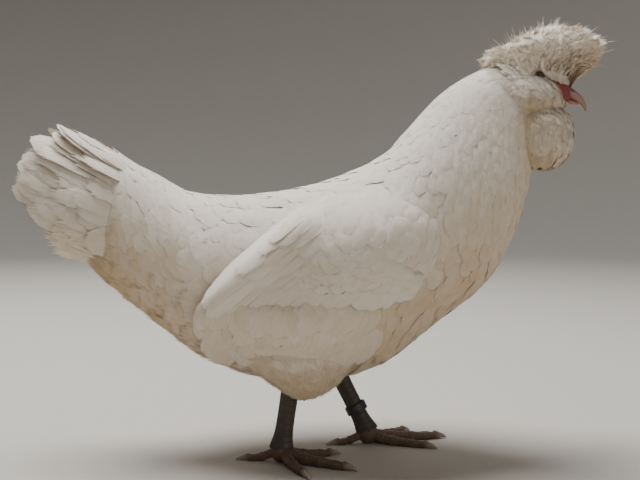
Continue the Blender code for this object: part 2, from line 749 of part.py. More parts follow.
def tail_vane(rows, side, share, reach, lift, half_width):
    """One feather of a fan, lifted off the ones that it lies over."""
    rows = [np.array((*root, *tip, inner, outer, lean)) for root, tip, inner, outer, lean in rows]
    root_x, root_z, tip_x, tip_z, inner, outer, lean = between(*rows, share)
    normal = np.array((0.0, side * math.cos(lean), math.sin(lean)))
    root = np.array((root_x, side * inner, root_z))
    tip = np.array((tip_x, side * outer, tip_z))
    tip = root + (tip - root) * reach
    places = np.array([place for place, _ in FLIGHT_SHAPE])[:, None]
    path = root + (tip - root) * places + normal * (lift + TAIL_BOW * 4 * places * (1 - places))
    normals = np.tile(normal, (len(path), 1))
    return vane(path, normals, FLIGHT_SHAPE, half_width, TAIL_THICKNESS, side * TAIL_ROLL)


def make_tail():
    """The rump with the tail's fan, two tiers of coverts over it, and a soft fan under it."""
    tail = body_loft("tail")
    fan = (TAIL_TOP, TAIL_MIDDLE, TAIL_LOW)
    under = (UNDER_TOP, UNDER_MIDDLE, UNDER_LOW)
    vanes = []
    for side in SIDE_NAMES:
        for share in np.linspace(0, 1, TAIL_PAIRS):
            vanes.append(tail_vane(fan, side, share, 1.0, 0.0, TAIL_HALF_WIDTH))
        for count, reach, lift in TAIL_COVERTS:
            for share in np.linspace(*COVERT_SHARES, count):
                vanes.append(tail_vane(fan, side, share, reach, lift, TAIL_HALF_WIDTH))
        for share in np.linspace(0, 1, UNDER_PAIRS):
            vanes.append(tail_vane(under, side, share, 1.0, 0.0, UNDER_HALF_WIDTH))
    combine(tail, vanes, "UNION")
    return combine(tail, [half_space(RUMP_CUT, 1, GAP)], "DIFFERENCE")


def tube_rings(path, side_reach, high_reach, sides, upward):
    """Rings round a path, each square to it, flattened between its side and its upward reach."""
    path = np.array(path)
    ahead = np.gradient(path, axis=0)
    ahead /= np.linalg.norm(ahead, axis=1, keepdims=True)
    across = np.cross(upward, ahead)
    across /= np.linalg.norm(across, axis=1, keepdims=True)
    high = np.cross(ahead, across)
    angles = np.linspace(0, 2 * math.pi, sides, endpoint=False)
    wide = across[:, None, :] * (np.cos(angles)[None, :] * side_reach)[..., None]
    tall = high[:, None, :] * (np.sin(angles)[None, :] * high_reach)[..., None]
    return path[:, None, :] + wide + tall


def unit(rows):
    return rows / np.linalg.norm(rows, axis=-1, keepdims=True)


def slab_shell(rings):
    """Points and faces of a thin closed form through rings of four points, ends flat.

    The points of a ring are the upper left, upper right, lower right and lower left corner.
    Both broad faces are split into triangles along the same diagonals.
    """
    count = len(rings)
    faces = [(0, 1, 2), (0, 2, 3)]
    last = (count - 1) * 4
    faces += [(last, last + 2, last + 1), (last, last + 3, last + 2)]
    for near in range(0, last, 4):
        far = near + 4
        faces += [(near, far, far + 1), (near, far + 1, near + 1)]
        faces += [(near + 1, far + 1, far + 2), (near + 1, far + 2, near + 2)]
        faces += [(near + 3, near + 2, far + 2), (near + 3, far + 2, far + 3)]
        faces += [(near, near + 3, far + 3), (near, far + 3, far)]
    return rings.reshape(-1, 3), faces


def vane(path, normals, shape, half_width, thickness, roll):
    """A thin feather along a path. Its width follows its shape, its broad side the normals.

    The roll turns it about its path, so that its neighbours lie over one another like tiles.
    """
    ahead = unit(np.gradient(path, axis=0))
    across = unit(np.cross(normals, ahead))
    high = np.cross(ahead, across)
    across = across * math.cos(roll) - high * math.sin(roll)
    high = np.cross(ahead, across)
    widths = np.array([share for _, share in shape]) * half_width
    halves = np.linspace(1.0, VANE_TAPER, len(shape)) * thickness / 2
    wide = across * widths[:, None]
    tall = high * halves[:, None]
    rings = np.stack((path - wide + tall, path + wide + tall, path + wide - tall, path - wide - tall), axis=1)
    return mesh_object("vane", *slab_shell(rings))


def lock(root, tip, bow, centre, shape, half_width, thickness):
    """A flat lock that bends from its root to its tip, with its broad side away from a centre."""
    places = np.array([place for place, _ in shape])[:, None]
    path = root + (tip - root) * places + bow * 4 * places * (1 - places)
    return vane(path, path - centre, shape, half_width, thickness, LOCK_ROLL)


def plate_steps(plates):
    """Places along a limb and lifts at them: each plate rises along its length, then drops."""
    places = [0.0]
    lifts = [0.0]
    edge = PLATE_EDGE / plates
    for plate in range(plates):
        places += [plate / plates + edge, (plate + 1) / plates - edge]
        lifts += [0.0, 1.0]
    places.append(1.0)
    lifts.append(0.0)
    return np.array(places), np.array(lifts)


def leg_line(side):
    ankle = np.array(ANKLES[side])
    hock = np.array(HOCKS[side])
    return ankle, (hock - ankle) / np.linalg.norm(hock - ankle)


def shank_rings(side, room=0.0):
    """The shank, with two rows of raised plates down its front and a low ridge behind."""
    ankle, ahead = leg_line(side)
    places, lifts = plate_steps(SHANK_PLATES if room == 0 else 1)
    path = ankle + ahead * (SHANK_START + (SHANK_TOP - SHANK_START) * places)[:, None]
    waist = 1.0 + SHANK_FLARE * (2 * places - 1) ** 2
    angles = np.linspace(0, 2 * math.pi, SHANK_SIDES, endpoint=False)
    front = np.clip(np.sin(angles), 0, 1) ** PLATE_POWER
    lift = SHANK_LIFT * lifts[:, None] * front[None, :]
    if room > 0:
        lift = np.full_like(lift, SHANK_LIFT + room)
    side_reach = SHANK_SIDE * waist[:, None] + lift
    high_reach = SHANK_DEEP * waist[:, None] + lift
    forward = np.cross(np.cross(ahead, (1.0, 0.0, 0.0)), ahead)
    return tube_rings(path, side_reach, high_reach, SHANK_SIDES, forward), ahead


def make_shank(side, room=0.0):
    rings, ahead = shank_rings(side, room)
    start = rings[0].mean(axis=0) - ahead * room
    end = rings[-1].mean(axis=0) + ahead * (SHANK_CAP + room)
    points, faces = ring_shell(rings, start, end)
    return mesh_object("shank", points, faces)


def make_thigh(side):
    shift_x, shift_z = THIGH_SHIFT[side]
    rungs = []
    for front, rear, half in THIGH_RUNGS:
        high = (front[0] + shift_x, front[1] + shift_z)
        low = (rear[0] + shift_x, rear[1] + shift_z)
        rungs.append((high, low, half))
    poles = [(x + shift_x, z + shift_z) for x, z in THIGH_POLES]
    thigh = rung_loft("thigh", rungs, poles, THIGH_SIDES, THIGH_POWER, y=side * THIGH_Y)
    return combine(thigh, [body_loft("body_room", GAP), make_shank(side, SOCKET_ROOM)], "DIFFERENCE")


def toe_path(side, tip, base_radius, tip_radius, count):
    """A toe's middle line: down from inside the ankle's ball, a low arch, then flat on the floor."""
    ankle, _ = leg_line(side)
    t = np.linspace(0, 1, count)
    reach = np.array((tip[0], side * tip[1]))
    length = np.linalg.norm(reach)
    ahead = reach / length
    flat = ankle[:2] + ahead * (t * length)[:, None]
    radius = base_radius + (tip_radius - base_radius) * t
    floor_line = radius - FLAT_DEPTH
    rise = TOE_ARCH * np.sin(math.pi * t) ** 2 * (1 - t)
    drop = (BALL_HEIGHT - floor_line[0]) * np.exp(-(t * length / TOE_DROP) ** 2)
    return np.column_stack((flat, floor_line + rise + drop)), radius, ahead


def make_toe(side, tip, base_radius, tip_radius, plates):
    places, lifts = plate_steps(plates)
    dense, dense_radius, ahead = toe_path(side, tip, base_radius, tip_radius, TOE_READS)
    t = np.linspace(0, 1, TOE_READS)
    path = np.column_stack([np.interp(places, t, dense[:, axis]) for axis in range(3)])
    radius = np.interp(places, t, dense_radius)
    swell = 1 + TOE_PAD_SWELL * np.cos(places * TOE_PADS * 2 * math.pi)
    angles = np.linspace(0, 2 * math.pi, TOE_SIDES, endpoint=False)
    top = np.clip(np.sin(angles), 0, 1) ** PLATE_POWER
    under = np.clip(-np.sin(angles), 0, 1)
    lift = TOE_LIFT * lifts[:, None] * top[None, :]
    plump = 1 + (swell[:, None] - 1) * under[None, :]
    reach = radius[:, None] * plump + lift
    rings = tube_rings(path, reach, reach, TOE_SIDES, (0.0, 0.0, 1.0))
    points, faces = ring_shell(rings, rings[0].mean(axis=0), rings[-1].mean(axis=0))
    return mesh_object("toe", points, faces)


def make_foot(side):
    """The ankle's ball and stub with four toes, fused, and flattened where they stand on the floor."""
    ankle, ahead = leg_line(side)
    bpy.ops.mesh.primitive_uv_sphere_add(segments=12, ring_count=6, radius=BALL_RADIUS)
    foot = bpy.context.object
    foot.location = (ankle[0], ankle[1], BALL_HEIGHT)
    apply_place(foot)
    path = [ankle, ankle + ahead * SHANK_START / 2, ankle + ahead * (SHANK_START - GAP)]
    waist = 1 + SHANK_FLARE
    forward = np.cross(np.cross(ahead, (1.0, 0.0, 0.0)), ahead)
    rings = tube_rings(path, SHANK_SIDE * waist, SHANK_DEEP * waist, SHANK_SIDES, forward)
    points, faces = ring_shell(rings, rings[0].mean(axis=0), rings[-1].mean(axis=0))
    pieces = [mesh_object("stub", points, faces)]
    pieces += [make_toe(side, *toe) for toe in TOES[side].values()]
    combine(foot, pieces, "UNION")
    return combine(foot, [flat_block((-BIG, -BIG, -BIG), (BIG, BIG, 0.0))], "DIFFERENCE")


def make_claw(side, toe):
    """A curved horn that carries the toe's line on to the floor, past a thin gap."""
    tip, base_radius, tip_radius, _ = toe
    path, _, ahead = toe_path(side, tip, base_radius, tip_radius, TOE_READS)
    end = path[-1]
    forward = np.array((*ahead, 0.0))
    t = np.linspace(0, 1, CLAW_RINGS)
    claw_path = end + forward * (GAP + CLAW_LENGTH * t)[:, None]
    radius = tip_radius * CLAW_BASE_SHARE * (1 - t) ** CLAW_TAPER + CLAW_TIP_RADIUS
    height = end[2] + CLAW_ARCH * np.sin(math.pi * t) - CLAW_DROP * t**2
    claw_path[:, 2] = np.maximum(height, radius + CLAW_CLEAR)
    rings = tube_rings(claw_path, radius[:, None], radius[:, None], CLAW_SIDES, (0.0, 0.0, 1.0))
    rings[0, :, 0:2] -= np.outer((rings[0, :, 0:2] - claw_path[0, 0:2]) @ ahead, ahead)
    start = rings[0].mean(axis=0)
    finish = rings[-1].mean(axis=0) + forward * CLAW_TIP_RADIUS
    points, faces = ring_shell(rings, start, finish)
    claw = mesh_object("claw", points, faces)
    return combine(claw, [flat_block((-BIG, -BIG, -BIG), (BIG, BIG, 0.0))], "DIFFERENCE")


def make_leg_ring():
    """The band on the left leg: a short tube, loose round the shank and leaning on its front."""
    ankle, ahead = leg_line(LEFT)
    bpy.ops.mesh.primitive_cylinder_add(vertices=RING_SIDES, radius=RING_OUTER, depth=RING_HEIGHT)
    ring = bpy.context.object
    turn = Vector(ahead).to_track_quat("Z", "Y").to_matrix().to_4x4()
    place = Vector(ankle + ahead * RING_UP)
    ring.matrix_world = Matrix.Translation(place) @ turn
    apply_place(ring)
    bpy.ops.mesh.primitive_cylinder_add(vertices=RING_SIDES, radius=RING_INNER, depth=RING_HEIGHT * 2)
    hole = bpy.context.object
    hole.matrix_world = Matrix.Translation(place) @ turn
    return combine(ring, [apply_place(hole)], "DIFFERENCE")


def make_nodes():
    """Every node's object with its name and the name of its material."""
    skin = Skin()
    draw = np.random.default_rng(SEED)
    nodes = [
        (make_torso(), "torso", "feather"),
        (make_neck(), "neck", "feather"),
        (make_head(skin), "head", "feather"),
        (make_upper_bill(), "bill_upper", "bill"),
        (make_lower_bill(), "bill_lower", "bill"),
        (make_comb(), "comb", "comb"),
        (make_beard(draw), "beard", "feather"),
        (make_tail(), "tail", "feather"),
        (make_leg_ring(), "leg_ring", "ring"),
        (make_crest(skin, draw), "crest", "feather"),
    ]
    for side, side_name in SIDE_NAMES.items():
        nodes.append((eye_ball(skin, side, 0.0), "eye_" + side_name, "eye"))
        nodes.append((make_muff(skin, side), "muff_" + side_name, "feather"))
        nodes.append((make_wing(skin, side), "wing_" + side_name, "feather"))
        nodes.append((make_thigh(side), "thigh_" + side_name, "feather"))
        nodes.append((make_shank(side), "shank_" + side_name, "shank"))
        nodes.append((make_foot(side), "foot_" + side_name, "shank"))
        for toe_name, toe in TOES[side].items():
            nodes.append((make_claw(side, toe), f"claw_{toe_name}_{side_name}", "claw"))
    return nodes


def main():
    clear_scene()
    home = new_collection("polverara_hen")
    materials = make_materials()
    for piece, name, material in make_nodes():
        finish_node(piece, name, materials[material], home)


main()
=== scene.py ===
import math

import bpy
import numpy as np
from mathutils import Matrix, Vector


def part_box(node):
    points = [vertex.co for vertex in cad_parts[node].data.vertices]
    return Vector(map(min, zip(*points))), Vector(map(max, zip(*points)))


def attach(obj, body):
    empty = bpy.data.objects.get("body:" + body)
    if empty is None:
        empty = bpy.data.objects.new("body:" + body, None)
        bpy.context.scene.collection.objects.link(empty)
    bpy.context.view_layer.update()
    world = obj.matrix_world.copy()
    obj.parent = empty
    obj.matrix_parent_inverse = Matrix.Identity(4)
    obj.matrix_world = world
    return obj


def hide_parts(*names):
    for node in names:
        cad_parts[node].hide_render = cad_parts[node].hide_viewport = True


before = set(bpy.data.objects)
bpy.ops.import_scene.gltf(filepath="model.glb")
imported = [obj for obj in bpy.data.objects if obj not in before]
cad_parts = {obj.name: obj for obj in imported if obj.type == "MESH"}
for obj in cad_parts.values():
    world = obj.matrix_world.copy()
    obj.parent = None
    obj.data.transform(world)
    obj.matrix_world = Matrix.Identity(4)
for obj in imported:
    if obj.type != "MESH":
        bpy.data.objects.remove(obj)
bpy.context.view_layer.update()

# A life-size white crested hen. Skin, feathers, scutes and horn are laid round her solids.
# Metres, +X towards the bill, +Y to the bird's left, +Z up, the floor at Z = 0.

bl_info = {
    "name": "Crested hen dresser",
    "version": (1, 0, 0),
    "blender": (4, 5, 0),
    "location": "3D View > Sidebar > Hen",
    "description": "Dresses the solids of a white crested hen with skin, feathers, scutes and horn",
    "category": "Object",
}

TAU = 2 * math.pi
SEED = 11
LEFT, RIGHT = 1, -1
SIDES = {LEFT: "left", RIGHT: "right"}

# The body's rungs: the upper or front point (x, z), the lower or rear point (x, z), half width.
BODY_RUNGS = (
    ((-0.174, 0.2440), (-0.188, 0.1640), 0.014), ((-0.159, 0.2450), (-0.171, 0.1460), 0.025),
    ((-0.142, 0.2400), (-0.153, 0.1300), 0.036), ((-0.124, 0.2310), (-0.132, 0.1140), 0.046),
    ((-0.100, 0.2185), (-0.110, 0.0970), 0.057), ((-0.066, 0.2155), (-0.082, 0.0790), 0.068),
    ((-0.028, 0.2190), (-0.040, 0.0660), 0.077), ((0.008, 0.2265), (0.008, 0.0650), 0.082),
    ((0.040, 0.2385), (0.056, 0.0750), 0.083), ((0.062, 0.2515), (0.103, 0.1100), 0.079),
    ((0.078, 0.2685), (0.145, 0.1440), 0.070), ((0.091, 0.2830), (0.168, 0.1850), 0.060),
    ((0.104, 0.2965), (0.178, 0.2170), 0.050), ((0.121, 0.3090), (0.182, 0.2380), 0.041),
    ((0.139, 0.3180), (0.187, 0.2560), 0.033), ((0.160, 0.3240), (0.195, 0.2720), 0.027),
    ((0.185, 0.3265), (0.204, 0.2850), 0.020), ((0.204, 0.3190), (0.211, 0.2890), 0.012),
)
BODY_POLES = ((-0.192, 0.207), (0.2135, 0.304))
BODY_POWER = 2.25
BODY_STEPS = 12
BODY_COLUMNS = 144
DOME_ROWS = 8

# Places along the body, counted in rungs, and what the coat is like there, in metres.
COAT_RUNGS = (0, 3, 6, 9, 11, 13, 15, 16, 17.6)
COAT_LENGTH = (0.026, 0.034, 0.034, 0.031, 0.027, 0.022, 0.0140, 0.0085, 0.0050)
COAT_HALF = (0.0085, 0.0105, 0.0118, 0.0108, 0.0088, 0.0066, 0.0043, 0.0025, 0.0015)
COAT_DEPTH = (0.0028, 0.0032, 0.0034, 0.0034, 0.0032, 0.0027, 0.0020, 0.0014, 0.0009)
# The bare red strip from the eye to the bill: two points (x, z) and half its height at each.
BARE_STRIP = ((0.1850, 0.3105), (0.2110, 0.2990), 0.0017, 0.0055)
MOUTH_STRIP = ((0.1950, 0.2975), (0.2120, 0.2935), 0.0012, 0.0042)
# How wide the skin's red fades out, and the place (x, z) past which the bill covers the face.
BARE_EDGE = 0.0012
BILL_EDGE = (0.2098, 0.3065)

THIGH_RUNGS = (
    ((0.030, 0.112), (-0.046, 0.112), 0.030), ((0.026, 0.092), (-0.040, 0.092), 0.029),
    ((0.022, 0.074), (-0.030, 0.074), 0.026), ((0.016, 0.061), (-0.024, 0.061), 0.019),
    ((0.006, 0.0545), (-0.016, 0.0545), 0.010),
)
# The fluff round the thigh, wide where it comes out of the belly.
FLUFF_RUNGS = (
    ((0.055, 0.112), (-0.085, 0.112), 0.0385), ((0.045, 0.092), (-0.068, 0.092), 0.0365),
    ((0.032, 0.076), (-0.046, 0.076), 0.030), ((0.020, 0.063), (-0.029, 0.063), 0.021),
    ((0.007, 0.0550), (-0.017, 0.0550), 0.011),
)
THIGH_POLES = ((-0.005, 0.120), (-0.005, 0.0530))
THIGH_Y = 0.036
THIGH_SHIFT = {RIGHT: (0.0, 0.0), LEFT: (0.026, 0.004)}

# The flight feathers' roots and tips (x, z), from the longest one forwards.
WING_ROOTS = ((0.004, 0.2050), (0.022, 0.1990), (0.040, 0.1910),
              (0.055, 0.1810), (0.066, 0.1710), (0.073, 0.1610))
WING_TIPS = ((-0.0850, 0.1345), (-0.0735, 0.1225), (-0.034, 0.1290),
             (0.009, 0.1345), (0.042, 0.1315), (0.068, 0.1380))
# The band of folded feathers: its middle line from (x, z) to (x, z), half width, height. The swell
# of the wing on the body's side: middle (x, z), half sizes, slope, how far it stands out.
WING_RIDGE = (0.006, 0.1930, -0.0790, 0.1300, 0.0105, 0.0055)
WING_SWELL = (0.036, 0.178, 0.072, 0.046, 0.10, 0.0105)

# Lines of the tail: root (x, z), tip (x, z), y at the root, y at the tip, lean towards the top.
TAIL_TOP = (-0.134, 0.2300, -0.2110, 0.2755, 0.0035, 0.0035, 1.30)
TAIL_MIDDLE = (-0.138, 0.2080, -0.2405, 0.2380, 0.0120, 0.0190, 0.35)
TAIL_LOW = (-0.140, 0.1860, -0.2300, 0.2030, 0.0140, 0.0260, 0.10)
UNDER_TOP = (-0.150, 0.1830, -0.2270, 0.1960, 0.0160, 0.0230, 0.00)
UNDER_MIDDLE = (-0.150, 0.1720, -0.2150, 0.1820, 0.0130, 0.0160, -0.55)
UNDER_LOW = (-0.150, 0.1640, -0.2020, 0.1700, 0.0060, 0.0060, -1.10)
# Tiers of the tail: reach, half width, height, inset of the fan's ends, how loose, shaft's height.
TAIL_TIERS = {
    "tail_fan": (0.99, 0.0160, 0.0000, 0.00, 0.6, 0.0003),
    "tail_coverts_0": (0.95, 0.0115, 0.0010, 0.01, 1.6, 0.0002),
    "tail_coverts_1": (0.84, 0.0112, 0.0022, 0.02, 2.0, 0.0),
    "tail_coverts_2": (0.71, 0.0110, 0.0034, 0.03, 2.0, 0.0),
    "tail_coverts_3": (0.58, 0.0108, 0.0048, 0.03, 2.0, 0.0),
    "tail_coverts_4": (0.44, 0.0108, 0.0060, 0.03, 2.0, 0.0),
    "under_tail_0": (1.00, 0.0130, 0.0000, 0.00, 2.0, 0.0),
    "under_tail_1": (0.82, 0.0130, 0.0022, 0.00, 2.0, 0.0),
    "under_tail_2": (0.62, 0.0130, 0.0042, 0.00, 2.0, 0.0),
    "under_tail_3": (0.42, 0.0130, 0.0060, 0.00, 2.0, 0.0),
}
TAIL_COVERTS, UNDER_FEATHERS = 20, 12
FAN_ROLL, FAN_BOW = 0.08, 0.0012

# The crest's rungs: front (x, z), rear (x, z), half width.
CREST_RUNGS = (
    (0.2165, 0.3145, 0.148, 0.3180, 0.0228), (0.2310, 0.3235, 0.141, 0.3230, 0.0262),
    (0.2410, 0.3320, 0.140, 0.3275, 0.0285), (0.2430, 0.3395, 0.149, 0.3350, 0.0292),
    (0.2345, 0.3465, 0.162, 0.3420, 0.0265), (0.2190, 0.3520, 0.179, 0.3495, 0.0175),
    (0.2010, 0.3555, 0.198, 0.3555, 0.002),
)
# The crown that the plumes stand on: its middle rung, half its length in rungs, half its turn.
CREST_CROWN = (16.15, 1.75, 1.12)
CREST_HEART = (0.190, 0.0, 0.318)
CREST_CORE, CREST_SHELL, TUFT_CORE = 0.84, 0.90, 0.74

# The beard and the muffs as eggs: middle, half sizes, and the direction from root pole to tip pole.
BEARD_EGG = ((0.1940, 0.0, 0.2650), (0.0215, 0.0215, 0.0275), (-0.06, 0.0, -1.0))
LOBE_EGG = ((0.1850, 0.0190, 0.2635), (0.0200, 0.0165, 0.0260), (-0.16, 0.10, -1.0))
MUFF_EGG = ((0.1760, 0.0175, 0.2935), (0.0255, 0.0155, 0.0175), (-0.92, 0.12, -0.55))
# Tufts: egg, least distance from the middle plane, plumes, wisps, length of a plume.
TUFTS = {
    "beard": (BEARD_EGG, -1.0, 1050, 300, 0.0160),
    "beard_lobe": (LOBE_EGG, 0.010, 800, 240, 0.0160),
    "muff": (MUFF_EGG, 0.014, 900, 260, 0.0165),
}
TUFT_HALF = 0.0047

UPPER_BILL_RUNGS = (
    ((0.2030, 0.3085), (0.1985, 0.2966), 0.0085), ((0.2105, 0.3064), (0.2055, 0.2958), 0.0079),
    ((0.2165, 0.3035), (0.2125, 0.2943), 0.0069), ((0.2215, 0.2995), (0.2175, 0.2922), 0.0055),
    ((0.2252, 0.2948), (0.2220, 0.2897), 0.0038), ((0.2272, 0.2895), (0.2252, 0.2868), 0.0019),
)
UPPER_BILL_POLES = ((0.199, 0.3025), (0.2272, 0.2846))
LOWER_BILL_RUNGS = (
    ((0.1990, 0.2972), (0.2005, 0.2886), 0.0070), ((0.2060, 0.2964), (0.2060, 0.2882), 0.0066),
    ((0.2125, 0.2948), (0.2115, 0.2882), 0.0055), ((0.2175, 0.2926), (0.2165, 0.2884), 0.0038),
)
LOWER_BILL_POLES = ((0.197, 0.2930), (0.2205, 0.2896))
NOSTRIL = (0.2140, 0.3012)

EYE_RADIUS = 0.0052
# How far the opening is turned back and down, and the way that the slit points.
EYE_TURN, EYE_SLIT = (0.26, 0.0, 0.20), (1.0, 0.0, -0.22)
COMB_X, COMB_Z, HORN_APART = 0.2075, 0.3130, 0.0035

ANKLES = {RIGHT: (-0.0235, -0.030, 0.0105), LEFT: (0.0490, 0.030, 0.0105)}
HOCKS = {RIGHT: (-0.0115, -0.033, 0.0900), LEFT: (0.0125, 0.033, 0.0830)}
SHANK_SIDE, SHANK_DEEP = 0.0054, 0.0064
SHANK_LENGTH, SHANK_COLUMNS = 0.0640, 72
TOE_TIPS = {
    RIGHT: {"middle": (0.0505, 0.0250), "inner": (0.0385, -0.0180),
            "outer": (0.0190, 0.0430), "hind": (-0.0270, -0.0040)},
    LEFT: {"middle": (0.0600, 0.0160), "inner": (0.0480, -0.0170),
           "outer": (0.0330, 0.0370), "hind": (-0.0260, -0.0060)},
}
# A toe's radius at its root and its tip, its plates, and where its knuckles are.
TOE_FORMS = {
    "middle": (0.0052, 0.0034, 15, (0.36, 0.62, 0.86)), "inner": (0.0047, 0.0031, 12, (0.45, 0.8)),
    "outer": (0.0046, 0.0031, 13, (0.34, 0.52, 0.70, 0.88)), "hind": (0.0040, 0.0027, 7, (0.6,)),
}
TOE_RINGS, TOE_COLUMNS = 150, 48
FLAT_DEPTH = 0.0010
TOE_ARCH = 0.0012
TOE_DROP = 0.0115
BALL_RADIUS, BALL_HEIGHT = 0.0092, 0.0083
CLAW_LENGTH, CLAW_DROP, CLAW_TIP = 0.0105, 0.0018, 0.0005
RING_INNER, RING_OUTER, RING_HEIGHT, RING_UP = 0.0080, 0.0093, 0.0070, 0.0190

# A feather's size on the unwrap, and the part of the unwrap that a whole piece takes.
PATCH = 0.003
WHOLE = (0.02, 0.98, 0.02, 0.98)
UPRIGHT = ((0.0, 0.0, 1.0), (1.0, 0.0, 0.0), (0.0, 1.0, 0.0))
GOLDEN_ANGLE = 2.399963
# Steps of an even sequence in two directions.
EVEN_STEPS = (0.7548776662, 0.5698402910)

FLOOR_REACH, FLOOR_BEND, FLOOR_SINK = 2.6, 1.5, 0.0002
# Lamps: place, power group, size, colour.
LAMPS = {
    "key": ((-0.45, 0.35, 2.20), "key_power", 1.5, (0.97, 0.985, 1.0)),
    "fill": ((1.10, -1.60, 0.60), "fill_power", 1.4, (1.0, 0.92, 0.82)),
    "rear": ((-0.40, 1.50, 1.50), "fill_power", 1.6, (0.97, 0.98, 1.0)),
}
LAMP_AIM = (0.0, 0.0, 0.17)
SKY_COLOUR, SKY_STRENGTH = (0.95, 0.97, 1.0, 1.0), 0.20
CAMERA_PLACE, CAMERA_DOWN, SENSOR = (0.0075, -0.83, 0.2195), 2.86, 36.0


def smooth_rows(rows, steps):
    """Rows read from a Catmull-Rom curve through the given rows, both ends included."""
    rows = np.array(rows, float)
    padded = np.vstack((2 * rows[0] - rows[1], rows, 2 * rows[-1] - rows[-2]))
    before, start, end, after = padded[:-3], padded[1:-2], padded[2:-1], padded[3:]
    t = (np.arange(steps) / steps)[None, :, None]
    bend = (2 * before - 5 * start + 4 * end - after)[:, None]
    twist = (3 * start - before - 3 * end + after)[:, None]
    read = start[:, None] + 0.5 * ((end - before)[:, None] * t + bend * t**2 + twist * t**3)
    return np.vstack((read.reshape(-1, rows.shape[1]), rows[-1]))


def unit(rows):
    return rows / np.maximum(np.linalg.norm(rows, axis=-1, keepdims=True), 1e-12)


def read_rows(rows, place):
    """Rows of numbers read between at fractional places."""
    number = np.arange(len(rows))
    return np.stack([np.interp(place, number, column) for column in rows.T], axis=-1)


def spiral(count):
    """Places spread evenly over a disc: each one's share of the radius, and its angle."""
    order = np.arange(count)
    return np.sqrt((order + 0.5) / count), (order * GOLDEN_ANGLE) % TAU


def on_patch(patch, share_u, share_v):
    """Shares of a piece's two ways, laid on its patch of the unwrap."""
    low_u, high_u, low_v, high_v = patch
    return np.stack((low_u + (high_u - low_u) * share_u,
                     low_v + (high_v - low_v) * share_v), axis=-1)


def smooth_step(value):
    value = np.clip(value, 0, 1)
    return value * value * (3 - 2 * value)


class Surface:
    """Rings of points, ring u by angle v, read between them by bilinear blending.

    It also keeps the outward normals, the metres that one ring step and one radian cover, and
    the place of each point on the flat unwrap.
    """

    def __init__(self, points, patch=WHOLE):
        self.points = points
        self.rings, self.columns = points.shape[:2]
        along = np.gradient(points, axis=0)
        around = (np.roll(points, -1, axis=1) - np.roll(points, 1, axis=1)) / 2
        normals = unit(np.cross(along, around))
        outwards = points - points.mean(axis=1, keepdims=True)
        self.flip = np.sign((normals * outwards).sum())
        self.normals = normals * self.flip
        self.ring_size = np.maximum(np.linalg.norm(along, axis=-1), 1e-5)
        turn_size = np.linalg.norm(around, axis=-1) * self.columns / TAU
        self.turn_size = np.maximum(turn_size, 1e-3)
        self.patch = patch

    def read(self, table, u, v):
        u = np.clip(u, 0, self.rings - 1.0001)
        column = (v / TAU * self.columns) % self.columns
        ring, left = u.astype(int), column.astype(int)
        left = left % self.columns
        right = (left + 1) % self.columns
        more_u, more_v = u - ring, column - np.floor(column)
        if table.ndim == 3:
            more_u, more_v = more_u[..., None], more_v[..., None]
        near = table[ring, left] * (1 - more_v) + table[ring, right] * more_v
        far = table[ring + 1, left] * (1 - more_v) + table[ring + 1, right] * more_v
        return near * (1 - more_u) + far * more_u

    def place(self, u, v, height, bulge=None):
        points = self.read(self.points, u, v)
        if bulge is not None:
            height = height + bulge(points[..., 0], points[..., 2])
        return points + unit(self.read(self.normals, u, v)) * height[..., None]

    def unwrap(self, u, v):
        return on_patch(self.patch, u / (self.rings - 1), v / TAU % 1.0)

    def scatter(self, count, weight, draw):
        """Roots spread evenly by area times weight.

        An even sequence in two directions is read through the running totals of the area.
        """
        area = self.ring_size * self.turn_size * weight
        totals = np.concatenate(([0.0], np.cumsum(area.sum(axis=1))))
        order = np.arange(count)
        first, second = [(0.5 + order * step) % 1 for step in EVEN_STEPS]
        u = np.interp(first * totals[-1], totals, np.arange(self.rings + 1)) - 0.5
        u = np.clip(u, 0, self.rings - 1)
        steps = np.cumsum(area[np.rint(u).astype(int)], axis=1)
        steps /= steps[:, -1:]
        column = np.minimum((steps < second[:, None]).sum(axis=1), self.columns - 1)
        before = np.where(column > 0, steps[order, np.maximum(column - 1, 0)], 0.0)
        share = (second - before) / np.maximum(steps[order, column] - before, 1e-9)
        v = (column + np.clip(share, 0, 1)) / self.columns * TAU
        return u + draw.uniform(-0.2, 0.2, count), v + draw.uniform(-0.01, 0.01, count)


def rung_rows(rungs, steps):
    return smooth_rows([(*high, *low, half) for high, low, half in rungs], steps)


